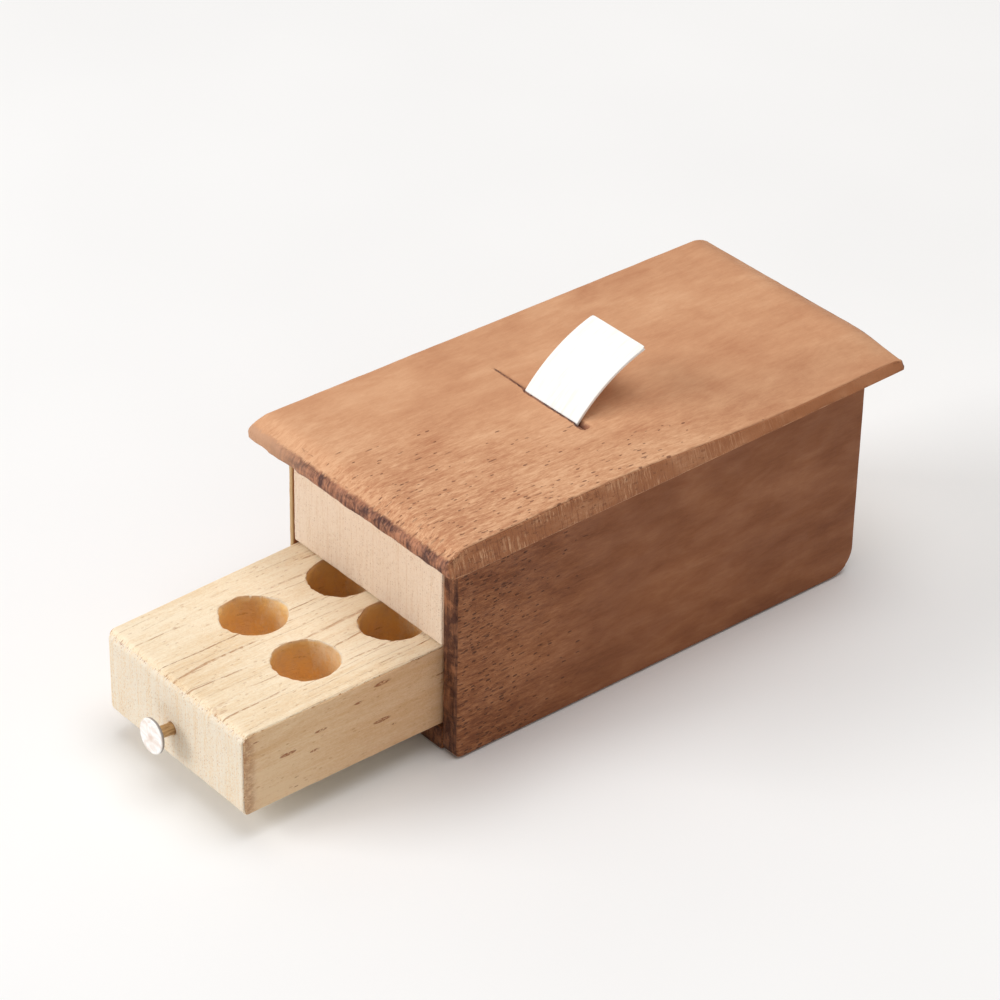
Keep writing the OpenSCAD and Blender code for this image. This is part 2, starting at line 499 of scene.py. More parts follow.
@dataclass
class Well:
    """A round hole sunk into a flat: rings of points from a border to a torn rim, down a wall and to a point.

    Attributes:
        centre: Middle of the mouth, mm.
        inward: Unit direction into the wood.
        radius: Radius of the wall.
        wall: Depth of the straight wall.
        point: Further depth of the drill point.
        lip: How far outside the wall the mouth starts to dip.
        tear: Size of the torn notches in the rim.
        seed: Picks another rim.
        flat_rings: Rings between the border and the rim.
        wall_rings: Rings down a wall deeper than 1 mm.
        cone_rings: Rings down the drill point.
        cone_start: Share of the cone, and depth in mm below the wall, at its first ring.
        fade: Depth over which the torn rim passes into the round wall, mm.
    """

    centre: Array
    inward: Array
    radius: float
    wall: float
    point: float
    lip: float
    tear: float
    seed: int
    flat_rings: int = 12
    wall_rings: int = 13
    cone_rings: int = 7
    cone_start: float = 0.12
    fade: float = 0.45

    def _profile(self) -> list[tuple[float, float]]:
        """Pairs of reach beyond the radius and depth: over the worn lip, down the wall and along the cone.

        Returns:
            The pairs, from the mouth down.
        """
        lip, start = self.lip, self.cone_start
        profile = [(lip, 0.0), (lip * 0.45, 0.02), (lip * 0.15, 0.09), (0.0, 0.22), (0.0, 0.42)]
        if self.wall > 1:
            profile += [(0.0, depth) for depth in np.linspace(0.7, self.wall, self.wall_rings)]
        cone = np.linspace(start, 1, self.cone_rings)
        return profile + [(-self.radius * s, self.wall + start + (self.point - start) * s) for s in cone]

    def grid(self, border: Array) -> tuple[Array, Array]:
        """Rings that share the border's points.

        The rim is a circle whose points move outwards by noise and, along the grain, by the size of another
        noise. A ring at depth d keeps exp(-(d / fade)^2) of that.

        Args:
            border: Closed loop of points, shape (n, 3), the first repeated at the end.

        Returns:
            Points of shape (rings, n, 3) and each one's share of the depth.
        """
        outward = border - self.centre
        outward -= (outward @ self.inward)[:, None] * self.inward
        outward /= np.linalg.norm(outward, axis=1, keepdims=True)
        circle = self.centre + outward * self.radius
        notch = Grain((0.7, 1.4, 0.7), self.seed, 2).at(circle)
        chip = Grain((1.4, 1.8, 1.4), self.seed + 5, 2).at(circle)
        spike = np.abs(Grain((0.22, 5.0, 0.22), self.seed + 9, 2).at(circle)) * np.abs(outward[:, 1])
        worn = self.tear * (0.45 * notch + 1.1 * np.maximum(chip - 0.2, 0) + 0.9 * spike * (chip > -0.3))
        rough = Grain((0.8, 0.8, 1.6), self.seed + 13, 3)
        outer = self.centre + outward * (self.radius + self.lip + worn)[:, None]
        rings = [border + (outer - border) * t for t in np.linspace(0, 1, self.flat_rings) ** 0.8][:-1]
        depths = [np.zeros(len(border)) for _ in rings]
        deepest = self.wall + self.point
        for extra, depth in self._profile():
            reach = self.radius + extra + worn * math.exp(-((depth / self.fade) ** 2))
            ring = self.centre + outward * reach[:, None] + self.inward * depth
            if 0.3 < depth <= self.wall:
                ring = ring + outward * (0.05 * rough.at(ring))[:, None]
            if depth < 0.1:
                sag = 0.07 * np.maximum(notch, 0) - 0.5 * np.maximum(chip - 0.35, 0) * self.tear
                ring = ring - self.inward * sag[:, None]
            rings.append(ring)
            depths.append(np.full(len(border), depth / deepest))
        return np.stack(rings), np.stack(depths)


def border_of(points: Array, rows: tuple[int, int], columns: tuple[int, int]) -> Array:
    """Closed loop of the points round a rectangle of a grid.

    Args:
        points: Grid of shape (rows, columns, 3).
        rows: First and last row of the rectangle.
        columns: First and last column.

    Returns:
        The loop, going along the rows first, with its first point repeated at the end.
    """
    (r0, r1), (c0, c1) = rows, columns
    there = [points[r0:r1, c0], points[r1, c0:c1]]
    back = [points[r1:r0:-1, c1], points[r0, c1:c0:-1], points[r0 : r0 + 1, c0]]
    return np.concatenate([*there, *back])


@dataclass
class Fibres:
    """Torn wood fibres: thin closed three-sided spikes that curl away from the wood.

    The centre line is base + along * L * t + lift * L * curl * t^2 with t from 0 to 1. The radius opens from
    0 to the full width within the first step and falls to 0 at the tip.

    Attributes:
        length: Shortest and longest fibre, mm.
        width: Thinnest and thickest radius, mm.
        curl: Least and most rise as a share of the length.
        seed: Seeds the draws.
    """

    length: tuple[float, float]
    width: tuple[float, float]
    curl: tuple[float, float]
    seed: int

    def add(self, shell: Shell, base: Array, along: Array, lift: Array) -> None:
        """Adds one fibre for each base point.

        Args:
            shell: Where they go.
            base: Points they grow from, shape (n, 3).
            along: Unit directions they start in, shape (n, 3).
            lift: Unit directions they curl towards, shape (n, 3).
        """
        rng = np.random.default_rng(self.seed)
        n = len(base)
        length = rng.uniform(*self.length, n)[:, None, None]
        width = rng.uniform(*self.width, n)[:, None]
        curl = rng.uniform(*self.curl, n)[:, None, None]
        t = np.array([0.0, 0.02, 0.3, 0.55, 0.8, 1.0])
        girth = np.array([0.0, 1.0, 0.9, 0.7, 0.4, 0.0])
        line = base[:, None] + along[:, None] * length * t[:, None]
        line = line + lift[:, None] * length * curl * (t**2)[:, None]
        across = np.cross(along, lift)
        turn = np.arange(4) * 2 * math.pi / 3
        ring = np.cos(turn)[:, None] * across[:, None] + 0.5 * np.sin(turn)[:, None] * lift[:, None]
        points = line[:, :, None] + ring[:, None] * (width * girth)[:, :, None, None]
        shell.add(points, fibre=1.0)


class Graph:
    """A material's node tree, written as short calls, with positions in mm in the object's own frame."""

    def __init__(self, name: str, roughness: float, specular: float) -> None:
        """Starts a material.

        Args:
            name: The material's name.
            roughness: The shader's roughness.
            specular: The shader's specular level.
        """
        self.material = bpy.data.materials.new(name)
        self.material.use_nodes = True
        self.tree = self.material.node_tree
        self.tree.nodes.clear()
        self.shader = self.tree.nodes.new("ShaderNodeBsdfPrincipled")
        self.shader.inputs["Roughness"].default_value = roughness
        self.shader.inputs["Specular IOR Level"].default_value = specular
        output = self.tree.nodes.new("ShaderNodeOutputMaterial")
        self.tree.links.new(self.shader.outputs[0], output.inputs[0])
        coordinates = self.tree.nodes.new("ShaderNodeTexCoord")
        self.mm = self._vector("SCALE", coordinates.outputs["Object"], None, 1 / METRE)
        split = self._node("ShaderNodeSeparateXYZ", {0: self.mm})
        self.x, self.y, self.z = split.outputs[0], split.outputs[1], split.outputs[2]
        self.side = self.step(self.tag("side"), 0.5)
        self.end = self.step(self.tag("end"), 0.5)

    def _node(self, kind: str, inputs: dict[int | str, Value], **settings: object) -> bpy.types.Node:
        """Adds a node.

        Args:
            kind: The node's type.
            inputs: Socket number or name to a socket, number or colour.
            settings: The node's own properties.

        Returns:
            The node.
        """
        node = self.tree.nodes.new(kind)
        for name, value in settings.items():
            setattr(node, name, value)
        for key, value in inputs.items():
            self.feed(node.inputs[key], value)
        return node

    def feed(self, socket: Socket, value: Value) -> None:
        """Links or sets one input.

        Args:
            socket: The input.
            value: A socket to link, or a number, vector or colour to set; None leaves the input alone.
        """
        if value is None:
            return
        if isinstance(value, Socket):
            self.tree.links.new(value, socket)
        elif socket.type == "RGBA" and len(value) == 3:
            socket.default_value = (*value, 1)
        else:
            socket.default_value = value

    def _vector(self, operation: str, a: Value, b: Value, scale: float = 1.0) -> Socket:
        """Adds a vector operation.

        Args:
            operation: Its name.
            a: First vector.
            b: Second vector, or None where the operation scales.
            scale: The factor where it scales.

        Returns:
            The vector socket.
        """
        node = self._node("ShaderNodeVectorMath", {0: a, 1: b}, operation=operation)
        if operation == "SCALE":
            self.feed(node.inputs[3], scale)
        return node.outputs[0]

    def math(self, operation: str, a: Value, b: Value = None) -> Socket:
        """A scalar operation on one or two values."""
        return self._node("ShaderNodeMath", {0: a, 1: b}, operation=operation).outputs[0]

    def add(self, a: Value, b: Value) -> Socket:
        """Sum of two values."""
        return self.math("ADD", a, b)

    def minus(self, a: Value, b: Value) -> Socket:
        """First value less the second."""
        return self.math("SUBTRACT", a, b)

    def times(self, a: Value, b: Value) -> Socket:
        """Product of two values."""
        return self.math("MULTIPLY", a, b)

    def step(self, value: Value, edge: float) -> Socket:
        """1 where the value is above the edge, and 0 elsewhere."""
        return self.math("GREATER_THAN", value, edge)

    def tag(self, name: str) -> Socket:
        """The piece's own float attribute of that name."""
        return self._node("ShaderNodeAttribute", {}, attribute_name=name).outputs["Fac"]

    def lerp(self, share: Value, a: Value, b: Value) -> Socket:
        """Value a where share is 0 and b where it is 1."""
        return self._node("ShaderNodeMix", {0: share, 2: a, 3: b}, data_type="FLOAT").outputs[0]

    def range(
        self, value: Value, low: float, high: float, to_low: float = 0.0, to_high: float = 1.0
    ) -> Socket:
        """Smooth map of low..high to to_low..to_high, held at both ends."""
        inputs = {0: value, 1: low, 2: high, 3: to_low, 4: to_high}
        return self._node("ShaderNodeMapRange", inputs, interpolation_type="SMOOTHSTEP").outputs[0]

    def mix(self, share: Value, a: Value, b: Value, blend: str = "MIX") -> Socket:
        """Colour a with b laid over it by share."""
        node = self._node("ShaderNodeMix", {0: share, 6: a, 7: b}, data_type="RGBA", blend_type=blend)
        return node.outputs[2]

    def ramp(self, value: Value, stops: list[tuple[float, Tone]]) -> Socket:
        """Colour ramp.

        Args:
            value: Drives the ramp.
            stops: Position and colour of each stop.

        Returns:
            The colour socket.
        """
        node = self._node("ShaderNodeValToRGB", {0: value})
        elements = node.color_ramp.elements
        while len(elements) < len(stops):
            elements.new(0.5)
        for element, (place, colour) in zip(elements, stops):
            element.position = place
            element.color = (*colour, 1)
        return node.outputs[0]

    def noise(self, stretch: Tone, detail: float, rough: float, seed: float, bend: float = 0) -> Socket:
        """Fractal noise.

        Args:
            stretch: Repeats per mm along X, Y and Z.
            detail: Octaves.
            rough: Strength kept from octave to octave.
            seed: Moves the pattern.
            bend: Distortion.

        Returns:
            A value round 0.5.
        """
        scaled = self._vector("MULTIPLY", self.mm, stretch)
        moved = self._vector("ADD", scaled, (seed * 7.3, seed * 3.1, seed * 5.7))
        inputs = {"Vector": moved, "Scale": 1.0, "Detail": detail, "Roughness": rough, "Distortion": bend}
        return self._node("ShaderNodeTexNoise", inputs).outputs[0]

    def dashes(
        self, across: float, along: float, size: float, share: Value, seed: float, wave: float = 0.0
    ) -> Socket:
        """Short marks along the grain on the long faces, and dots on the ends.

        A flat cell pattern lies on each face, stretched along Y. A cell holds a mark where its own random
        number is below share, and the mark fades out at about the distance size from the cell's middle.

        Args:
            across: Cells per mm across the grain.
            along: Cells per mm along the grain.
            size: Radius of a mark in cells.
            share: Share of the cells that hold a mark, a number or a socket.
            seed: Moves the pattern.
            wave: How far the marks wander sideways, mm.

        Returns:
            1 in the marks and 0 outside.
        """
        u = self.lerp(self.side, self.x, self.z)
        if wave:
            drift = self.noise((0.35, 0.16, 0.35), 2, 0.5, seed + 2)
            u = self.add(u, self.times(self.minus(drift, 0.5), wave * 2))
        v = self.lerp(self.end, self.times(self.y, along), self.times(self.z, across))
        moved = {0: self.add(self.times(u, across), seed * 11.7), 1: self.add(v, seed * 5.3)}
        place = self._node("ShaderNodeCombineXYZ", moved).outputs[0]
        cells = self._node("ShaderNodeTexVoronoi", {"Vector": place, "Scale": 1.0}, voronoi_dimensions="2D")
        picked = self._node("ShaderNodeSeparateColor", {0: cells.outputs["Color"]})
        keep = self.math("LESS_THAN", picked.outputs[0], share)
        reach = self.times(self.add(picked.outputs[1], 0.45), size)
        near = self.minus(reach, cells.outputs["Distance"])
        return self.times(keep, self.range(near, 0.0, size * 0.35))

    def bump(self, height: Value, depth: float) -> None:
        """Feeds a height to the shader's normal.

        Args:
            height: The height, 0 to 1.
            depth: What a height of 1 stands for, mm.
        """
        node = self._node("ShaderNodeBump", {"Height": height, "Distance": depth * METRE, "Strength": 1.0})
        self.feed(self.shader.inputs["Normal"], node.outputs[0])

    def colour(self, value: Value) -> None:
        """Feeds the shader's base colour."""
        self.feed(self.shader.inputs["Base Color"], value)

    def dress(self, piece: bpy.types.Object) -> None:
        """Gives a piece this material alone."""
        piece.data.materials.clear()
        piece.data.materials.append(self.material)


@dataclass(frozen=True)
class Mahogany:
    """Reddish-brown hardwood with open pores, bare of any varnish.

    Attributes:
        name: The material's name.
        light: Lighter clouds and fibres.
        middle: The body colour.
        deep: Darker clouds.
        pore: Bottom of the pores; also the painted shade in the kerf.
        end_light: Lighter end grain.
        end_dark: Darker strokes of the end grain.
        end_left: End grain at the box's left, which is paler.
        left_span: Values of x between which the left's end grain passes into the rest.
        sawn: The sawn right edge, and painted shade on the arris under it.
        pores: Share of the cells with a pore where they crowd.
        crowd: Values of x - 0.6 y between which the pores start and crowd.
        chatter: Strength of the planer's ripples.
        seed: Moves the patterns.
    """

    name: str
    light: Tone
    middle: Tone
    deep: Tone
    pore: Tone
    end_light: Tone
    end_dark: Tone
    end_left: Tone
    left_span: tuple[float, float]
    sawn: Tone
    pores: float
    crowd: tuple[float, float]
    chatter: float
    seed: int

    def _pores(self, g: Graph, near: Socket, fine: Socket) -> Socket:
        """Short and long pores that crowd towards the front right, broken up by the fibres.

        Args:
            g: The material's graph.
            near: Closeness to the front right, 0 to 1.
            fine: The fibres, round 0.

        Returns:
            1 in the pores and 0 outside.
        """
        crowded = g.times(near, near)
        short = g.dashes(3.2, 1.2, 0.26, g.times(crowded, self.pores), self.seed, 0.2)
        long = g.dashes(2.3, 0.42, 0.16, g.times(crowded, self.pores * 0.8), self.seed + 4, 0.25)
        ragged = g.range(fine, -0.09, 0.02)
        return g.times(g.math("MAXIMUM", g.times(short, 0.9), g.times(long, 0.75)), ragged)

    def _end_grain(self, g: Graph, colour: Socket, blotch: Socket, stroke: Socket) -> Socket:
        """Lays stroked end grain over the ends, with pale fibres where it meets the long faces at the front.

        Args:
            g: The material's graph.
            colour: The colour so far.
            blotch: Patches of the end grain.
            stroke: Strokes of the end grain.

        Returns:
            The new colour.
        """
        ends = g.add(g.times(blotch, 0.5), g.times(stroke, 0.5))
        ends = g.ramp(ends, [(0.44, self.end_dark), (0.60, self.end_light)])
        ends = g.mix(g.range(g.x, *self.left_span), self.end_left, ends)
        jitter = g.times(g.minus(stroke, 0.5), g.range(g.tag("end"), 0.0, 0.15, 0.0, 1.6))
        share = g.add(g.tag("end"), jitter)
        colour = g.mix(g.times(g.range(share, 0.02, 0.42), 0.95), colour, ends)
        border = g.range(g.math("ABSOLUTE", g.minus(share, 0.1)), 0.28, 0.05)
        border = g.times(g.times(border, g.range(g.y, -26.2, -27.2)), g.range(stroke, 0.5, 0.58))
        return g.mix(g.times(border, 0.75), colour, self.light)

    def _saw_cut(self, g: Graph, colour: Socket, near: Socket, mottle: Socket, scratch: Socket) -> Socket:
        """Lays the saw's colour over the sawn edge and, as painted shade, the arris below, with pale and dark
        scratches near the front right.

        Args:
            g: The material's graph.
            colour: The colour so far.
            near: Closeness to the front right, 0 to 1.
            mottle: Small clouds.
            scratch: The saw's scratches.

        Returns:
            The new colour.
        """
        band = g.tag("sawn")
        colour = g.mix(g.times(band, g.range(mottle, 0.3, 0.6, 0.6, 0.95)), colour, self.sawn)
        patch = g.noise((0.3, 0.22, 0.6), 2, 0.5, self.seed + 8)
        patch = g.times(g.range(patch, 0.42, 0.56), near)
        lines = g.times(g.times(g.range(scratch, 0.54, 0.60), patch), band)
        colour = g.mix(g.times(lines, 0.75), colour, self.light)
        cuts = g.times(g.times(g.range(scratch, 0.46, 0.38), near), band)
        return g.mix(g.times(cuts, 0.55), colour, self.pore)

    def material(self) -> Graph:
        """Soft clouds, fibres that sharpen towards the front right, pores, stroked ends and a sawn edge.

        Returns:
            The material's graph.
        """
        g = Graph(self.name, 0.62, 0.28)
        near = g.range(g.minus(g.x, g.times(g.y, 0.6)), *self.crowd)
        cloud = g.noise((0.11, 0.06, 0.15), 3, 0.5, self.seed, 0.7)
        mottle = g.noise((0.5, 0.2, 0.5), 3, 0.5, self.seed + 1, 0.5)
        fibre = g.noise((3.4, 0.55, 3.4), 3, 0.65, self.seed + 2, 0.3)
        hair = g.noise((9.0, 1.6, 9.0), 3, 0.7, self.seed + 3, 0.4)
        fine = g.minus(g.add(g.times(fibre, 0.55), g.times(hair, 0.45)), 0.5)
        shade = g.add(g.times(cloud, 0.32), g.times(mottle, 0.24))
        shade = g.add(g.add(shade, 0.22), g.times(fine, g.lerp(near, 0.25, 1.5)))
        # Painted shade: the wood darkens slowly towards the back.
        shade = g.minus(shade, g.range(g.y, -5.0, 27.0, 0.0, 0.045))
        colour = g.ramp(shade, [(0.36, self.deep), (0.5, self.middle), (0.64, self.light)])
        pores = self._pores(g, near, fine)
        colour = g.mix(g.times(pores, 0.8), colour, self.pore)
        blotch = g.noise((0.45, 0.3, 0.7), 3, 0.6, self.seed + 5, 0.5)
        stroke = g.noise((3.0, 0.45, 0.5), 4, 0.7, self.seed + 6, 0.3)
        colour = self._end_grain(g, colour, blotch, stroke)
        scratch = g.noise((0.7, 6.5, 0.5), 3, 0.75, self.seed + 7, 0.6)
        colour = self._saw_cut(g, colour, near, mottle, scratch)
        colour = g.mix(g.times(g.tag("fibre"), 0.4), colour, self.light)
        # Painted shade: a dark hairline along the kerf's closed end, and kerf walls that darken with depth.
        colour = g.mix(g.times(g.tag("kerf"), 0.22), colour, self.pore)
        colour = g.mix(g.times(g.tag("cut"), 0.5), colour, self.pore)
        g.colour(colour)
        ripple = g.noise((0.22, 0.9, 0.22), 2, 0.5, self.seed + 8, 0.3)
        tooth = g.noise((3.0, 2.0, 3.0), 3, 0.6, self.seed + 9)
        height = g.add(g.times(ripple, self.chatter), g.times(tooth, 0.25))
        threads = g.add(g.times(fibre, 0.7), g.times(hair, 0.5))
        height = g.add(height, g.times(threads, g.lerp(near, 0.25, 1.0)))
        height = g.add(height, g.times(g.tag("end"), g.times(g.add(stroke, blotch), 0.9)))
        height = g.add(height, g.times(g.tag("sawn"), g.times(scratch, 0.9)))
        g.bump(g.minus(height, g.times(pores, 0.9)), 0.08)
        g.feed(g.shader.inputs["Roughness"], g.range(mottle, 0.35, 0.65, 0.68, 0.54))
        return g


@dataclass(frozen=True)
class PaleWood:
    """Cream hardwood with fine dark cracks along the grain, brown flecks and torn cups.

    Attributes:
        name: The material's name.
        light: The body colour.
        warm: The warmer bands.
        mark: Cracks, flecks and pores.
        end: End grain.
        shade: Painted shade, a factor that darkens the long sides.
        rear_side_shade: Painted shade, a further factor towards the back of the sides.
        fleck: Reddish-brown flecks of the sides, and of the darker band along the front upright edge.
        cup: Inside of the cups.
        cracks: Strength of the long cracks.
        saw: Weight of the saw lines on the ends, against fine grit.
        edge_band: Strength of the darker band along the front upright edge.
        seed: Moves the patterns.
    """

    name: str
    light: Tone
    warm: Tone
    mark: Tone
    end: Tone
    shade: Tone
    rear_side_shade: Tone
    fleck: Tone
    cup: Tone
    cracks: float
    saw: float
    edge_band: float
    seed: int

    def material(self) -> Graph:
        """Soft bands, long wandering cracks, flecks, saw lines and dots on the ends, and tinted cups.

        Returns:
            The material's graph.
        """
        g = Graph(self.name, 0.68, 0.22)
        broad = g.noise((0.14, 0.03, 0.2), 3, 0.5, self.seed, 0.6)
        threads = g.noise((1.4, 0.06, 1.4), 4, 0.6, self.seed + 1, 0.4)
        hair = g.noise((7.0, 0.6, 7.0), 3, 0.7, self.seed + 2, 0.5)
        fuzz = g.noise((5.0, 3.0, 5.0), 4, 0.7, self.seed + 12, 0.5)
        saw = g.noise((3.2, 1.0, 0.14), 4, 0.7, self.seed + 3, 0.3)
        grit = g.noise((6.5, 2.0, 4.0), 3, 0.7, self.seed + 13)
        shade = g.add(g.times(broad, 0.35), g.add(g.times(threads, 0.2), g.times(hair, 0.25)))
        shade = g.add(shade, g.times(fuzz, 0.2))
        colour = g.ramp(shade, [(0.41, self.warm), (0.54, self.light)])
        # Painted shade: the long sides are darkened, more so towards the back.
        rear_side_shade = g.mix(g.range(g.y, -46.0, -26.0), (1.0, 1.0, 1.0), self.rear_side_shade)
        colour = g.mix(g.times(g.side, 0.95), colour, self.shade, "MULTIPLY")
        colour = g.mix(g.times(g.side, 0.95), colour, rear_side_shade, "MULTIPLY")
        ends = g.add(g.times(saw, self.saw), g.times(grit, 1.0 - self.saw))
        ends = g.ramp(ends, [(0.38, self.warm), (0.52, self.end)])
        colour = g.mix(g.times(g.range(g.tag("end"), 0.3, 0.7), 0.9), colour, ends)
        cracks = self._cracks(g)
        colour = g.mix(g.times(cracks, 0.62), colour, self.mark)
        flecks = g.dashes(1.0, 0.20, 0.16, g.lerp(g.side, 0.0, 0.34), self.seed + 8, 0.2)
        flecks = g.times(flecks, g.range(fuzz, 0.40, 0.54))
        colour = g.mix(g.times(flecks, 0.85), colour, self.fleck)
        pores = g.dashes(3.4, 1.1, 0.2, g.lerp(g.end, 0.14, 0.34), self.seed + 9, 0.1)
        colour = g.mix(g.times(pores, 0.30), colour, self.mark)
        # A darker reddish band on the long sides next to the front upright edge.
        arris = g.times(g.times(g.side, g.range(g.y, -46.0, -47.1)), g.range(grit, 0.36, 0.6, 0.3, 1.0))
        colour = g.mix(g.times(arris, self.edge_band), colour, self.fleck)
        nibs = g.times(g.range(g.tag("edge"), 0.25, 0.5), g.range(grit, 0.56, 0.64))
        colour = g.mix(g.times(nibs, 0.7), colour, self.mark)
        depth = g.tag("cup")
        stain = g.noise((0.6, 0.6, 0.35), 3, 0.6, self.seed + 10)
        tint = g.range(g.add(stain, g.times(grit, 0.4)), 0.5, 0.85, 0.45, 1.0)
        colour = g.mix(g.times(g.range(depth, 0.0, 0.06), tint), colour, self.cup)
        colour = g.mix(g.times(g.tag("fibre"), 0.7), colour, self.light)
        g.colour(colour)
        height = g.add(g.times(hair, 0.7), g.times(fuzz, 0.8))
        height = g.add(height, g.times(g.tag("end"), g.times(g.add(saw, grit), 0.7)))
        height = g.add(height, g.times(g.range(depth, 0.0, 0.1), g.times(stain, 1.6)))
        hollows = g.math("MAXIMUM", cracks, g.times(pores, 0.4))
        g.bump(g.minus(height, g.times(hollows, 0.7)), 0.10)
        return g

    def _cracks(self, g: Graph) -> Socket:
        """Long and hair-thin cracks on the top and bottom, in patches and with torn outlines.

        Args:
            g: The material's graph.

        Returns:
            1 in the cracks and 0 outside.
        """
        patch = g.noise((0.12, 0.03, 0.12), 2, 0.5, self.seed + 4)
        share = g.times(g.range(patch, 0.32, 0.5, 0.6, 1.0), self.cracks)
        torn = g.range(g.noise((2.2, 1.3, 2.2), 3, 0.7, self.seed + 7), 0.38, 0.54, 0.25, 1.0)
        flat = g.times(g.minus(1.0, g.end), g.minus(1.0, g.side))
        long = g.times(self._lines(g, 0.46, 0.13, 0.47, self.seed + 5), share)
        thin = g.times(self._lines(g, 0.80, 0.06, 0.50, self.seed + 6), 0.5)
        return g.times(g.times(g.math("MAXIMUM", long, thin), torn), flat)

    def _lines(self, g: Graph, often: float, wide: float, kept: float, seed: int) -> Socket:
        """Wandering lines along Y, at x + drift = n / often, drawn only where a slow noise is above kept.

        Args:
            g: The material's graph.
            often: Lines per mm.
            wide: Half the width of a line, mm.
            kept: Value of the noise at which a line starts to show.
            seed: Moves the lines.

        Returns:
            1 on the lines and 0 elsewhere.
        """
        slow = g.noise((0.13, 0.024, 0.13), 2, 0.5, seed)
        quick = g.noise((0.9, 0.25, 0.9), 3, 0.6, seed + 30)
        place = g.add(g.x, g.add(g.times(slow, 7.0), g.times(quick, 0.45)))
        off = g.math("ABSOLUTE", g.minus(g.math("FRACT", g.times(place, often)), 0.5))
        line = g.range(off, wide * often, wide * often * 0.35)
        show = g.range(g.noise((0.4, 0.06, 0.4), 3, 0.55, seed + 60), kept, kept + 0.06)
        return g.times(line, show)


@dataclass(frozen=True)
class PearlDisc:
    """Polished shell-like disc: milky white with faint warm clouds, brown painted shade on rim and back, and
    a spot at its middle.

    Attributes:
        name: The material's name.
        milk: The body colour.
        cloud: The warmer clouds.
        rim: Colour of the painted shade on the rim and back.
        spot: The spot's colour.
    """

    name: str = "pearl"
    milk: Tone = tone(252, 250, 247)
    cloud: Tone = tone(236, 222, 212)
    rim: Tone = tone(96, 84, 78)
    spot: Tone = tone(222, 196, 180)

    def material(self) -> Graph:
        """Clouded white under a clear coat, with painted shade on the rim and back.

        Returns:
            The material's graph.
        """
        g = Graph(self.name, 0.22, 0.55)
        clouds = g.noise((0.7, 0.7, 1.1), 3, 0.55, 41, 0.8)
        colour = g.ramp(clouds, [(0.40, self.cloud), (0.58, self.milk)])
        colour = g.mix(g.times(g.tag("spot"), 0.6), colour, self.spot)
        # Painted shade on the rim and, at half strength, the back.
        colour = g.mix(g.times(g.tag("rim"), 0.85), colour, self.rim)
        g.colour(colour)
        g.shader.inputs["Coat Weight"].default_value = 0.3
        g.bump(g.noise((1.5, 1.5, 1.5), 2, 0.5, 42), 0.01)
        return g


@dataclass(frozen=True)
class WhiteSlip:
    """Matt white bent strip, bone-like, with the faintest lengthwise threads.

    Attributes:
        name: The material's name.
        body: The body colour.
        thread: The threads' colour.
    """

    name: str = "white_slip"
    body: Tone = tone(254, 253, 250)
    thread: Tone = tone(245, 242, 236)

    def material(self) -> Graph:
        """Near-white threads along the strip with a very fine tooth.

        Returns:
            The material's graph.
        """
        g = Graph(self.name, 0.5, 0.3)
        threads = g.noise((2.6, 0.25, 0.25), 3, 0.6, 51)
        g.colour(g.ramp(threads, [(0.35, self.thread), (0.55, self.body)]))
        g.bump(g.add(g.times(threads, 0.5), g.noise((4.0, 4.0, 4.0), 2, 0.5, 52)), 0.008)
        return g


@dataclass(frozen=True)
class PinWood:
    """Tan whittled peg with threads along its length.

    Attributes:
        name: The material's name.
        light: The lighter threads.
        deep: The darker threads and the pores.
    """

    name: str = "pin_wood"
    light: Tone = tone(214, 178, 128)
    deep: Tone = tone(160, 118, 72)

    def material(self) -> Graph:
        """Threads and small pores along Y.

        Returns:
            The material's graph.
        """
        g = Graph(self.name, 0.6, 0.3)
        threads = g.noise((4.0, 0.5, 4.0), 3, 0.6, 61)
        pores = g.dashes(4.0, 1.2, 0.2, 0.25, 62)
        colour = g.ramp(threads, [(0.35, self.deep), (0.62, self.light)])
        g.colour(g.mix(g.times(pores, 0.4), colour, self.deep))
        g.bump(g.minus(threads, g.times(pores, 0.5)), 0.04)
        return g


@dataclass(frozen=True)
class FloorFinish:
    """Matt near-white studio floor.

    Attributes:
        name: The material's name.
        pale: One white.
        paler: A lighter white.
    """

    name: str = "studio_floor"
    pale: Tone = (0.90, 0.90, 0.90)
    paler: Tone = (0.93, 0.93, 0.93)

    def material(self) -> Graph:
        """Two close whites in a slow noise.

        Returns:
            The material's graph.
        """
        g = Graph(self.name, 0.9, 0.1)
        g.colour(g.ramp(g.noise((0.02, 0.02, 0.02), 2, 0.5, 71), [(0.3, self.pale), (0.7, self.paler)]))
        return g


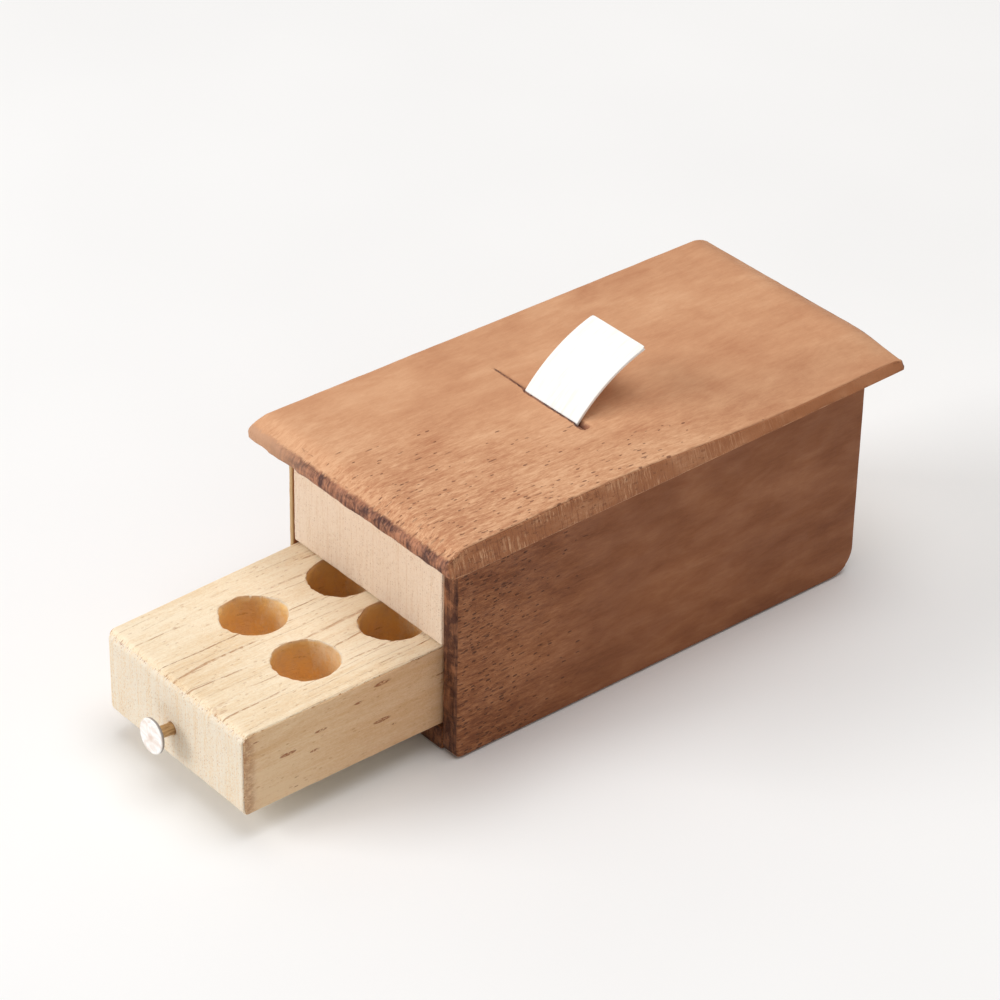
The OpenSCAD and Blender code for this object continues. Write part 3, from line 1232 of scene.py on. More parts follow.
@dataclass(frozen=True)
class Finishes:
    """The materials shared by the pieces.

    Attributes:
        case: Wood of the sides and the floor board.
        top: Wood of the top board.
        panel: Wood of the end panels and inner pieces.
        drawer: Wood of the drawer.
        pin: Wood of the peg.
        pearl: The disc's shell.
        slip: The white strip.
    """

    case: Graph
    top: Graph
    panel: Graph
    drawer: Graph
    pin: Graph
    pearl: Graph
    slip: Graph

    @classmethod
    def make(cls) -> "Finishes":
        """Builds each material once.

        Returns:
            The materials.
        """
        dark = Mahogany(
            name="dark_wood",
            light=tone(172, 114, 74),
            middle=tone(149, 93, 57),
            deep=tone(124, 72, 42),
            pore=tone(72, 36, 22),
            end_light=tone(150, 98, 66),
            end_dark=tone(70, 36, 24),
            end_left=tone(196, 164, 118),
            left_span=(-11.75, -11.5),
            sawn=tone(154, 99, 61),
            pores=0.6,
            crowd=(15.0, 29.0),
            chatter=0.5,
            seed=3,
        )
        top = Mahogany(
            name="dark_top_wood",
            light=tone(226, 176, 136),
            middle=tone(208, 154, 115),
            deep=tone(188, 130, 94),
            pore=tone(120, 66, 44),
            end_light=tone(188, 128, 96),
            end_dark=tone(74, 42, 40),
            end_left=tone(196, 150, 118),
            left_span=(-13.0, -3.0),
            sawn=tone(164, 104, 66),
            pores=0.26,
            crowd=(0.0, 27.0),
            chatter=0.6,
            seed=1,
        )
        panel = PaleWood(
            name="pale_panel_wood",
            light=tone(248, 228, 204),
            warm=tone(236, 207, 178),
            mark=tone(180, 134, 102),
            end=tone(247, 225, 202),
            shade=(1.0, 0.96, 0.92),
            rear_side_shade=(1.0, 1.0, 1.0),
            fleck=tone(190, 140, 104),
            cup=tone(226, 194, 164),
            cracks=0.2,
            saw=0.55,
            edge_band=0.0,
            seed=31,
        )
        drawer = PaleWood(
            name="pale_drawer_wood",
            light=tone(254, 237, 208),
            warm=tone(239, 210, 170),
            mark=tone(176, 106, 46),
            end=tone(245, 233, 214),
            shade=(0.85, 0.71, 0.58),
            rear_side_shade=(0.94, 0.86, 0.84),
            fleck=tone(150, 84, 46),
            cup=tone(246, 200, 128),
            cracks=1.0,
            saw=0.4,
            edge_band=0.55,
            seed=20,
        )
        return cls(
            case=dark.material(),
            top=top.material(),
            panel=panel.material(),
            drawer=drawer.material(),
            pin=PinWood().material(),
            pearl=PearlDisc().material(),
            slip=WhiteSlip().material(),
        )


def place_piece(piece: bpy.types.Object, graph: Graph, body: str, slot: str, *nodes: str) -> None:
    """Dresses a finished piece, ties it to its body and reports it.

    Args:
        piece: The piece.
        graph: Its material.
        body: The body it rides on.
        slot: The record's material slot; not used.
        nodes: The CAD nodes that it stands for.
    """
    graph.dress(piece)
    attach(piece, body)
    if nodes:
        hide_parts(*nodes)
    faces = sum(len(p.vertices) - 2 for p in piece.data.polygons)
    stands_for = ", ".join(nodes) or "nothing"
    log.info("%s: %d triangles, rides on %s, stands for %s", piece.name, faces, body, stands_for)


@dataclass
class CaseBoards:
    """The two side boards, the floor and the two end panels, as separate eased boards.

    Attributes:
        arris: Radius of the long arrises.
        foot: Radius of the sides' long lower arrises.
        corner: Radius of the front corners near the floor, seen from the side.
        back_corner: Radius of the back corners near the floor, seen from the side.
        upright: Radius of the upright front and back arrises.
        wear: How far the surface strays from flat.
        pitch: Spacing of the points.
    """

    arris: float = 0.28
    foot: float = 0.35
    corner: float = 1.0
    back_corner: float = 2.8
    upright: float = 0.5
    wear: float = 0.035
    pitch: float = 0.4

    def _board(self, node: str) -> Block:
        """A block in a node's place."""
        low, high = box_mm(node)
        return Block(low, high, self.arris, self.pitch)

    def _finish(self, block: Block, name: str, seed: int, corners: dict[int, float]) -> bpy.types.Object:
        """Welds a board and wears it: noise along the grain moves the faces in, more on the edges and ends.

        Args:
            block: The board.
            name: The piece's name.
            seed: Seeds the wear.
            corners: Radius of the rounded lower corner at an end, by end.

        Returns:
            The piece.
        """
        shell = Shell()
        block.fill(shell)
        shell.weld()
        for end, radius in corners.items():
            shell.round_corner((block.low, block.high)[end][1], block.low[2], radius)
        slow = Grain((3.0, 14.0, 3.0), seed, 2)
        nibble = Grain((0.7, 1.1, 0.7), seed + 3, 3)

        def wear(points: Array, normals: Array, tags: dict[str, Array]) -> Array:
            """Slow waves, and nibbles on the edges and ends.

            Args:
                points: The points.
                normals: Their normals.
                tags: Their tags.

            Returns:
                The distance to move each, never outwards.
            """
            edge = smooth(tags["edge"], 0.2, 0.8) + 0.5 * smooth(np.abs(normals[:, 1]), 0.7, 0.95)
            depth = slow.at(points) * 0.4 - 0.6 + edge * (nibble.at(points) - 1.1)
            return np.minimum(self.wear * depth, 0)

        shell.push(wear)
        return shell.to_object(name)

    def build(self, finishes: Finishes) -> None:
        """Makes and dresses the five boards.

        Args:
            finishes: The materials.
        """
        for seed, node in enumerate(("left_side", "right_side")):
            board = self._board(node)
            outer = LOW if node == "left_side" else HIGH
            for end in (LOW, HIGH):
                board.ease(X, outer, Y, end, self.upright, self.upright)
            board.ease(X, outer, Z, LOW, self.foot, self.foot)
            corners = {LOW: self.corner, HIGH: self.back_corner}
            piece = self._finish(board, f"{node}_board", 5 + seed, corners)
            place_piece(piece, finishes.case, "case", "dark_wood", node)
        floor = self._board("floor_board")
        piece = self._finish(floor, "floor_board_wood", 9, {HIGH: self.back_corner})
        place_piece(piece, finishes.case, "case", "dark_wood", "floor_board")
        for seed, node in enumerate(("back_panel", "front_panel")):
            piece = self._finish(self._board(node), f"{node}_wood", 11 + seed, {})
            place_piece(piece, finishes.panel, "case", "pale_panel_wood", node)


@dataclass
class TopBoard:
    """The overhanging top: rounded left edge and noses, a leaning sawn right edge, and the slip's kerf.

    Attributes:
        left_round: Radius of the left edge.
        nose_long: Reach of the front and back rounding along Y.
        nose_high: Its height.
        left_foot: Radius of the left edge's lower arris.
        nose_foot: Radius of the front and back lower arrises.
        arris: Radius of the right edge's upper arris.
        rear_drop: How far the right edge's upper arris sinks towards the back.
        corner: Plan radius of the right corners.
        left_corner: Plan radius of the left corners.
        under: Radius of the other arrises.
        lean: How much less the right edge stands out at its top than at its foot.
        taper: How much less the right edge stands out at the back than at the front.
        pitch: Spacing of the points where no steps are given.
        y_steps: Steps along Y before, across and behind the kerf.
        x_steps: Steps along X left of, along and right of the kerf.
        wall_rings: Rings down the kerf's walls.
        kerf_half: Half the kerf's width.
        kerf_close: How much nearer the slip the front wall stands where the slip is.
        kerf_reach: Half the kerf's length.
        kerf_shut: Where the kerf starts to close towards the left.
        kerf_bend: How far from the kerf the grid bends to follow it.
        slip_end: Values of x over which the front wall steps back, just right of the slip.
    """

    left_round: float = 1.5
    nose_long: float = 3.4
    nose_high: float = 1.5
    left_foot: float = 0.6
    nose_foot: float = 0.45
    arris: float = 0.3
    rear_drop: float = 1.5
    corner: float = 0.8
    left_corner: float = 0.9
    under: float = 0.18
    lean: float = 0.72
    taper: float = 1.2
    pitch: float = 0.38
    y_steps: tuple[int, int, int] = (60, 1, 80)
    x_steps: tuple[int, int, int] = (15, 48, 23)
    wall_rings: int = 7
    kerf_half: float = 0.395
    kerf_close: float = 0.14
    kerf_reach: float = 6.75
    kerf_shut: float = -2.5
    kerf_bend: float = 7.0
    slip_end: tuple[float, float] = (5.1, 5.9)

    def __post_init__(self) -> None:
        """Reads the board's box and the slip's axis."""
        self.low, self.high = box_mm("top_board")
        self.centre = slip_axis()

    def arc_y(self, z: Array | float, side: int) -> Array | float:
        """Y of a kerf wall: centre_y - sqrt(R^2 - (z - centre_z)^2), R the slip's radius +- half the kerf.

        Args:
            z: Heights.
            side: LOW for the front wall, HIGH for the back one.

        Returns:
            The Y of the wall at those heights.
        """
        radius = SLIP_RADIUS + (self.kerf_half if side == LOW else -self.kerf_half)
        return self.centre[1] - np.sqrt(radius**2 - (z - self.centre[2]) ** 2)

    def kerf_middle(self) -> float:
        """Y halfway between the kerf's walls at the upper face."""
        return (self.arc_y(self.high[2], LOW) + self.arc_y(self.high[2], HIGH)) / 2

    def openness(self, x: Array) -> Array:
        """Share of the kerf's width that is open: a hairline at the left, then a narrow gap, then all of it.

        Args:
            x: Places along the kerf.

        Returns:
            The shares, 0.004 to 1.
        """
        hairline, narrow = 0.004, 0.18
        gap = narrow * smooth(x, -5.0, self.kerf_shut) ** 2
        return hairline + gap + (1 - hairline - narrow) * smooth(x, self.kerf_shut, -1.9)

    def shaped(self, points: Array) -> Array:
        """Bends the plain block into the board.

        Near the kerf, y shifts so that the two grid lines beside it follow the arc walls; the shift falls
        linearly to 0 away from them and smoothly beyond the kerf's ends. Right of the middle, x loses taper *
        share of the length and lean * share of the height, both growing smoothly towards the edge. The upper
        arris there sinks by up to rear_drop towards the back.

        Args:
            points: Points of the plain block.

        Returns:
            Points of the board.
        """
        x, y, z = points[..., 0], points[..., 1], points[..., 2]
        top_z = self.high[2]
        front, back = self.arc_y(top_z, LOW), self.arc_y(top_z, HIGH)
        half = (back - front) / 2 * (1 - self.openness(x))
        close = self.kerf_close * (1 - smooth(x, *self.slip_end)) * self.openness(x)
        front_shift = self.arc_y(z, LOW) - front + half + close
        back_shift = self.arc_y(z, HIGH) - back - half
        ahead = np.clip((y - (front - self.kerf_bend)) / self.kerf_bend, 0, 1)
        behind = np.clip(((back + self.kerf_bend) - y) / self.kerf_bend, 0, 1)
        shift = np.where(y < (front + back) / 2, ahead * front_shift, behind * back_shift)
        y_new = y + shift * smooth(np.abs(x), 10.5, self.kerf_reach + 0.01)
        right = smooth(x, 6.5, self.high[0])
        length_share = (y - self.low[1]) / (self.high[1] - self.low[1])
        height_share = (z - self.low[2]) / (top_z - self.low[2])
        x_new = x - right * (self.taper * length_share + self.lean * height_share)
        sink = self.rear_drop * smooth(x, 7.5, self.high[0] + 1.5) * smooth(y, -12.0, 16.0) * height_share
        return np.stack([x_new, y_new, z - sink], axis=-1)

    def _block(self) -> Block:
        """The plain block with a grid line along each kerf wall and at each kerf end.

        Returns:
            The block.
        """
        block = Block(self.low, self.high, self.under, self.pitch, turn=6)
        block.ease(X, LOW, Z, HIGH, self.left_round, self.left_round)
        block.ease(X, LOW, Z, LOW, self.left_foot, self.left_foot)
        block.ease(X, HIGH, Z, HIGH, self.arris, self.arris)
        for end in (LOW, HIGH):
            block.ease(Y, end, Z, HIGH, self.nose_long, self.nose_high)
            block.ease(Y, end, Z, LOW, self.nose_foot, self.nose_foot)
            block.ease(X, LOW, Y, end, self.left_corner, self.left_corner)
            block.ease(X, HIGH, Y, end, self.corner, self.corner)
        top_z = self.high[2]
        kerf_y = [block.share_of(Y, float(self.arc_y(top_z, s)), Z, HIGH) for s in (LOW, HIGH)]
        kerf_x = [block.share_of(X, s * self.kerf_reach, Z, HIGH) for s in (-1, 1)]
        block.stops[Y] = steps_between([0, *kerf_y, 1], self.y_steps)
        block.stops[X] = steps_between([0, *kerf_x, 1], self.x_steps)
        return block

    def build(self, finishes: Finishes) -> None:
        """Makes the board with its kerf, wears it, and grows fibres along the front nose and right arris.

        Args:
            finishes: The materials.
        """
        block, shell = self._block(), Shell()
        column = block.turn + self.y_steps[0]
        first = block.turn + self.x_steps[0]
        last = first + self.x_steps[1]
        loops = {}
        for axis, side, points, turn in block.faces():
            points = self.shaped(points)
            sawn = smooth(points[..., 0], 12.2, 13.2) * (1.0 if axis == X and side == HIGH else 0.0)
            # Painted shade: the arris under the right edge takes the sawn edge's darker colour.
            if axis == Z and side == LOW:
                sawn = smooth(turn, 0.1, 0.5) * smooth(points[..., 0], 12.2, 13.2)
            keep = np.ones((points.shape[0] - 1, points.shape[1] - 1), bool)
            if axis == Z:
                keep[first:last, column] = False
                loops[side] = border_of(points, (first, last), (column, column + 1))
            kerf = self._kerf_share(points) * (axis == Z and side == HIGH)
            shell.add(points, flip=side == LOW, keep=keep, edge=turn, sawn=sawn, kerf=kerf)
        self._kerf_walls(shell, loops[HIGH], loops[LOW])
        shell.weld()
        rough = Grain((0.9, 1.6, 0.6), 71, 3)
        ripple = Grain((6.0, 3.0, 6.0), 73, 2)

        def wear(points: Array, normals: Array, tags: dict[str, Array]) -> Array:
            """Torn front nose, softer back nose, nibbled arrises and a faintly waved top.

            Args:
                points: The points.
                normals: Their normals.
                tags: Their tags.

            Returns:
                The distance to move each, never outwards.
            """
            nose = smooth(points[:, 1], -26.4, -28.2) + 0.12 * smooth(points[:, 1], 26.8, 28.2)
            edge = smooth(tags["edge"], 0.2, 0.7)
            deep = 0.06 * nose + 0.06 * edge + 0.05 * tags["sawn"]
            flat = 0.012 * (ripple.at(points) - 1) - 0.09 * tags["kerf"]
            return np.minimum(deep * (rough.at(points) - 0.9) + flat, 0)

        shell.push(wear)
        self._fibres(shell)
        place_piece(shell.to_object("top_board_wood"), finishes.top, "case", "dark_top_wood", "top_board")

    def _kerf_walls(self, shell: Shell, mouth: Array, foot: Array) -> None:
        """Adds the kerf's walls: straight lines from mouth to foot, moved by the arc less its own chord.

        Args:
            shell: Where they go.
            mouth: Loop round the kerf on the upper face.
            foot: Loop round the kerf on the lower face.
        """
        share = np.linspace(0, 1, self.wall_rings)[:, None]
        wall = mouth[None] + (foot - mouth)[None] * share[..., None]
        in_front = (mouth[:, 1] < self.kerf_middle())[None]

        def arc(z: Array | float) -> Array:
            """Y of the nearer wall's arc at a height, for each point of the loop."""
            return np.where(in_front, self.arc_y(z, LOW), self.arc_y(z, HIGH))

        top, bottom = arc(self.high[2]), arc(self.low[2])
        wall[..., 1] += arc(wall[..., 2]) - (top + (bottom - top) * share)
        wall[0], wall[-1] = mouth, foot
        # The cut tag darkens the walls with depth, as painted shade.
        shell.add(wall, flip=True, cut=np.clip(share * 6, 0, 1))

    def _kerf_share(self, points: Array) -> Array:
        """How close a point of the upper face lies to the closed left end of the kerf.

        Args:
            points: The points.

        Returns:
            1 on the kerf's line, 0 from 0.45 mm away.
        """
        middle = self.kerf_middle()
        along = smooth(points[..., 0], -self.kerf_reach - 0.8, -5.4) * smooth(points[..., 0], -1.4, -2.6)
        return along * smooth(np.abs(points[..., 1] - middle), 0.45, 0.12)

    def _fibres(self, shell: Shell) -> None:
        """Grows fibres from the welded surface of the front nose and the right arris.

        Args:
            shell: The welded board.
        """
        rng = np.random.default_rng(7)
        normals = shell.normals()
        p = shell.points
        nose = (p[:, 1] < -27.3) & (p[:, 2] > 24.2) & (p[:, 2] < 25.1) & (p[:, 0] > -9) & (p[:, 0] < 13.2)
        arris = (shell.tags["edge"] > 0.3) & (p[:, 0] > 12.4) & (p[:, 2] > 25.0)
        arris &= (p[:, 1] > -25) & (p[:, 1] < 0)
        torn = Shell()
        for picked, count, sizes, seed in (
            (nose, 90, ((0.35, 1.1), (0.02, 0.05), (-0.25, 0.35)), 3),
            (arris, 60, ((0.25, 0.8), (0.012, 0.03), (0.0, 0.3)), 4),
        ):
            chosen = rng.choice(np.flatnonzero(picked), count)
            base, lift = p[chosen] - normals[chosen] * 0.02, normals[chosen]
            along = np.cross(lift, np.array([0.0, 0.3, 1.0]))
            along *= np.sign(rng.uniform(-1, 1, count))[:, None]
            along += rng.normal(0, 0.45, (count, 3))
            along -= (along * lift).sum(1, keepdims=True) * lift
            along /= np.linalg.norm(along, axis=1, keepdims=True)
            Fibres(*sizes, seed=seed).add(torn, base, along, lift * 0.6)
        torn.weld()
        torn.points[:, 2] = np.minimum(torn.points[:, 2], self.high[2])
        torn.points[:, 1] = np.maximum(torn.points[:, 1], self.low[1])
        offset = len(shell.points)
        shell.quads = np.concatenate([shell.quads, torn.quads + offset])
        for name in set(shell.tags) | set(torn.tags):
            old = shell.tags.get(name, np.zeros(offset))
            shell.tags[name] = np.concatenate([old, torn.tags.get(name, np.zeros(len(torn.points)))])
        shell.points = np.concatenate([shell.points, torn.points])


@dataclass
class Drawer:
    """The solid drawer with two columns of four drilled cups, and the hole for the knob's peg.

    Attributes:
        soft_front: Radius of the front's top and bottom arrises.
        left_front: Radius of the front's left arris.
        right_front: Radius of the front's right arris.
        taper: How much narrower the left is at the front than where the drawer leaves the case.
        arris: Radius of the long top arrises.
        foot: Radius of the long bottom arrises.
        cup_radius: Radius of a cup.
        cup_wall: Depth of its straight wall.
        cup_point: Depth of the drill point below the wall.
        column: Distance of a column of cups from the middle.
        first_row: Distance of the first left cup from the front.
        row_pitch: Distance from cup to cup.
        skew: How much nearer the front the right column is.
        rows: Cups in a column.
        x_steps: Steps along X left of the peg, from there to the middle, on to the peg's right, and beyond.
        z_steps: Steps along Z below, beside and above the peg.
        front_steps: Steps along Y in front of the cups.
        row_steps: Steps along Y for each row of cups.
        peg_half: Half the width of the grid's opening for the peg.
        peg_share: Half its height, as a share of the front's flat.
        hole_radius: Radius of the peg's hole.
        hole_wall: Depth of its straight wall.
        hole_point: Further depth of its bottom.
        lip: How far outside a hole's wall its mouth starts to dip.
        cup_tear: Size of the torn notches in the cups' rims.
        hole_tear: Size of those in the rim of the peg's hole.
    """

    soft_front: float = 1.0
    left_front: float = 0.8
    right_front: float = 0.35
    taper: float = 0.85
    arris: float = 0.3
    foot: float = 0.7
    cup_radius: float = 3.175
    cup_wall: float = 4.6
    cup_point: float = 1.8
    column: float = 4.3
    first_row: float = 12.1
    row_pitch: float = 10.1
    skew: float = 0.5
    rows: int = 4
    x_steps: tuple[int, int, int, int] = (27, 6, 3, 28)
    z_steps: tuple[int, int, int] = (6, 8, 9)
    front_steps: int = 18
    row_steps: int = 33
    peg_half: float = 1.3
    peg_share: float = 0.17
    hole_radius: float = 0.62
    hole_wall: float = 0.5
    hole_point: float = 0.1
    lip: float = 0.1
    cup_tear: float = 0.2
    hole_tear: float = 0.12

    def _block(self) -> Block:
        """The block with grid lines between the cups and round the peg.

        Returns:
            The block.
        """
        low, high = box_mm("drawer_block")
        block = Block(low, high, self.foot, 0.45, turn=5)
        for side in (LOW, HIGH):
            block.ease(X, side, Z, HIGH, self.arris, self.arris)
            block.ease(X, side, Y, HIGH, 0.5, 0.5)
        block.ease(Y, HIGH, Z, HIGH, 0.4, 0.4)
        block.ease(Y, LOW, Z, HIGH, self.soft_front, self.soft_front)
        block.ease(Y, LOW, Z, LOW, self.soft_front, self.soft_front)
        block.ease(X, HIGH, Y, LOW, self.right_front, self.right_front)
        block.ease(X, LOW, Y, LOW, self.left_front, self.left_front)
        block.ease(X, LOW, Z, LOW, 1.0, 1.0)
        start = low[1] + self.first_row - self.row_pitch / 2 - self.skew / 2
        lines = [start + self.row_pitch * k for k in range(self.rows + 1)]
        shares_y = [0.0, *[block.share_of(Y, y, Z, HIGH) for y in lines], 1.0]
        block.stops[Y] = steps_between(shares_y, (self.front_steps, *[self.row_steps] * self.rows, 1))
        peg_x, _, peg_z = peg_root()
        lines = [block.share_of(X, x, Y, LOW) for x in (peg_x - self.peg_half, peg_x + self.peg_half)]
        split = block.share_of(X, 0.0, Z, HIGH)
        block.stops[X] = steps_between([0, lines[0], split, lines[1], 1], self.x_steps)
        middle = block.share_of(Z, peg_z, Y, LOW)
        shares_z = [0, middle - self.peg_share, middle + self.peg_share, 1]
        block.stops[Z] = steps_between(shares_z, self.z_steps)
        return block

    def shaped(self, points: Array) -> Array:
        """Moves the left side in, from nothing at the case's front to taper at the drawer's front.

        Args:
            points: Points of the plain block.

        Returns:
            The moved points; those right of x = -8 stay.
        """
        case_front = box_mm("front_panel")[0][1]
        low = box_mm("drawer_block")[0]
        share = np.clip((case_front - points[..., 1]) / (case_front - low[1]), 0, 1)
        moved = points.copy()
        moved[..., 0] += self.taper * share * smooth(points[..., 0], -8.0, low[0])
        return moved

    def _cups(self, block: Block, shell: Shell, points: Array, keep: Array) -> None:
        """Adds the cups and opens the top face where they lie.

        Args:
            block: The plain block.
            shell: Where they go.
            points: The top face's points.
            keep: The top face's cells, of which the cups' are cleared.
        """
        turn, steps = block.turn, self.row_steps
        sizes = (self.cup_radius, self.cup_wall, self.cup_point)
        columns = (0, self.x_steps[0] + self.x_steps[1], sum(self.x_steps))
        for row in range(self.rows):
            for col in range(2):
                x_span = (turn + columns[col], turn + columns[col + 1])
                start = turn + self.front_steps + steps * row
                y_span = (start, start + steps)
                keep[x_span[0] : x_span[1], y_span[0] : y_span[1]] = False
                y = block.low[1] + self.first_row + self.row_pitch * row - self.skew * col
                centre = np.array([self.column * (2 * col - 1), y, block.high[2]])
                seed = 101 + 20 * row + 7 * col
                cup = Well(centre, np.array([0.0, 0.0, -1.0]), *sizes, self.lip, self.cup_tear, seed)
                rings, depth = cup.grid(border_of(points, x_span, y_span))
                shell.add(rings, flip=True, cup=depth)

    def _peg_hole(self, block: Block, shell: Shell, points: Array, keep: Array) -> None:
        """Adds the shallow hole round the peg and opens the front face there.

        Args:
            block: The plain block.
            shell: Where it goes.
            points: The front face's points.
            keep: The front face's cells, of which the hole's are cleared.
        """
        bottom, left = block.turn + self.z_steps[0], block.turn + self.x_steps[0]
        z_span = (bottom, bottom + self.z_steps[1])
        x_span = (left, left + self.x_steps[1] + self.x_steps[2])
        keep[z_span[0] : z_span[1], x_span[0] : x_span[1]] = False
        inward = np.array([0.0, 1.0, 0.0])
        sizes = (self.hole_radius, self.hole_wall, self.hole_point)
        hole = Well(peg_root(), inward, *sizes, self.lip, self.hole_tear, 7, flat_rings=5)
        rings, depth = hole.grid(border_of(points, z_span, x_span))
        shell.add(rings, cup=depth * 0.5)

    def build(self, finishes: Finishes) -> None:
        """Makes and dresses the drawer.

        Args:
            finishes: The materials.
        """
        block, shell = self._block(), Shell()
        for axis, side, points, edge in block.faces():
            points = self.shaped(points)
            keep = np.ones((points.shape[0] - 1, points.shape[1] - 1), bool)
            if axis == Z and side == HIGH:
                self._cups(block, shell, points, keep)
            if axis == Y and side == LOW:
                self._peg_hole(block, shell, points, keep)
            shell.add(points, flip=side == LOW, keep=keep, edge=edge)
        shell.weld()
        slow = Grain((4.0, 16.0, 4.0), 201, 2)
        nibble = Grain((0.8, 1.0, 0.8), 203, 3)

        def wear(points: Array, normals: Array, tags: dict[str, Array]) -> Array:
            """Slow waves, and nibbles where the edge turns; the cups stay.

            Args:
                points: The points.
                normals: Their normals.
                tags: Their tags.

            Returns:
                The distance to move each, never outwards.
            """
            edge = smooth(tags["edge"], 0.15, 0.7)
            outside = 1 - smooth(tags["cup"], 0, 0.05)
            depth = 0.02 * (slow.at(points) - 1) + 0.07 * edge * (nibble.at(points) - 0.9)
            return outside * np.minimum(depth, 0)

        shell.push(wear)
        piece = shell.to_object("drawer_wood")
        place_piece(piece, finishes.drawer, "drawer", "pale_drawer_wood", "drawer_block")


@dataclass
class Knob:
    """The peg and the disc at its end, each a profile turned round the peg's axis, a little nose-up.

    Attributes:
        peg_radius: Radius of the peg.
        disc_radius: Radius of the disc.
        disc_thick: Thickness of the disc.
        sunk: How far the peg goes into the drawer.
        around: Steps round the axis.
        tilt: Rise of the axis from the drawer to the tip, as a slope.
        set_back: How far behind the head's foremost place the disc's face lies.
        inside: How far short of the disc's back the peg ends within it.
        rim_round: Radius of the disc's arrises.
        rim_steps: Points round the rim's section.
        face_steps: Points from the disc's middle to its rim.
        peg_rings: Rings along the peg.
        dome: Rise of the disc's face at its middle.
        hollow: How far the domed face starts behind the rim's front.
    """

    peg_radius: float = 0.575
    disc_radius: float = 1.72
    disc_thick: float = 0.34
    sunk: float = 1.2
    around: int = 72
    tilt: float = 0.07
    set_back: float = 0.16
    inside: float = 0.1
    rim_round: float = 0.1
    rim_steps: int = 13
    face_steps: int = 11
    peg_rings: int = 14
    dome: float = 0.10
    hollow: float = 0.06

    def _turned(self, profile: Array, root: Array) -> Array:
        """Carries (radius, y) pairs round the axis, which runs along -Y from the root and rises by tilt.

        Args:
            profile: Pairs of radius and y, shape (n, 2).
            root: Where the axis leaves the drawer.

        Returns:
            Points of shape (n, around + 1, 3).
        """
        angle = np.linspace(0, 2 * math.pi, self.around + 1)
        angle[-1] = 0.0
        radius, y = profile[:, :1], profile[:, 1:]
        x = radius * np.cos(angle)
        z = radius * np.sin(angle)
        lift = self.tilt * (root[1] - y)
        return np.stack([root[0] + x, y + self.tilt * z, root[2] + z + lift], axis=-1)

    def _peg(self, root: Array, tip: float) -> bpy.types.Object:
        """Makes the whittled peg.

        Args:
            root: Where its axis leaves the drawer.
            tip: Y of its outer end.

        Returns:
            The piece.
        """
        start = root[1] + self.sunk
        y = np.concatenate([[start, start], np.linspace(start, tip, self.peg_rings), [tip]])
        wall = np.full(self.peg_rings, self.peg_radius)
        radius = np.concatenate([[0.0, self.peg_radius * 0.9], wall, [0.0]])
        shell = Shell()
        shell.add(self._turned(np.stack([radius, y], axis=1), root))
        shell.weld()
        facet = Grain((0.5, 3.0, 0.5), 301, 2)
        shell.push(lambda p, n, t: 0.05 * (facet.at(p) - 0.6) * smooth(np.abs(n[:, 1]), 0.9, 0.5))
        return shell.to_object("knob_peg")

    def _disc(self, root: Array, front: float, back: float) -> bpy.types.Object:
        """Makes the disc: a flat back, a rim of two quarter circles and a face domed by 1 - (r / R)^2.

        Args:
            root: Where the axis leaves the drawer.
            front: Y of the rim's front.
            back: Y of the back.

        Returns:
            The piece.
        """
        bend = np.linspace(0, math.pi, self.rim_steps)
        flat_r, flat_half = self.disc_radius - self.rim_round, self.disc_thick / 2 - self.rim_round
        rim_r = flat_r + self.rim_round * np.sin(bend)
        rim_y = (front + back) / 2 + np.where(bend < math.pi / 2, flat_half, -flat_half)
        rim_y = rim_y + self.rim_round * np.cos(bend)
        out = np.linspace(0, flat_r, self.face_steps + 1)[:-1]
        dome = self.dome * (1 - (out / self.disc_radius) ** 2)
        radius = np.concatenate([out, rim_r, out[::-1]])
        y = np.concatenate([np.full(self.face_steps, back), rim_y, (front + self.hollow - dome)[::-1]])
        # Painted shade: the rim behind its front is darkened, and the back at half strength.
        rim_shade_share = smooth(rim_y, front + 0.05, front + 0.12)
        rim = np.concatenate([np.full(self.face_steps, 0.5), rim_shade_share, np.zeros(self.face_steps)])
        behind = np.zeros(self.face_steps + self.rim_steps)
        spot = np.concatenate([behind, smooth(out, 0.55, 0.2)[::-1]])
        shell = Shell()
        shell.add(self._turned(np.stack([radius, y], axis=1), root), rim=rim[:, None], spot=spot[:, None])
        shell.weld()
        wobble = Grain((0.9, 3.0, 0.9), 305, 2)
        shell.push(lambda p, n, t: 0.02 * (wobble.at(p) - 1))
        return shell.to_object("knob_disc")

    def build(self, finishes: Finishes) -> None:
        """Makes and dresses the peg and the disc.

        Args:
            finishes: The materials.
        """
        root = peg_root()
        front = box_mm("knob_head")[0][1] + self.set_back
        back = front + self.disc_thick
        place_piece(self._peg(root, back - self.inside), finishes.pin, "drawer", "pin_wood", "knob_pin")
        place_piece(self._disc(root, front, back), finishes.pearl, "drawer", "pearl_disc", "knob_head")


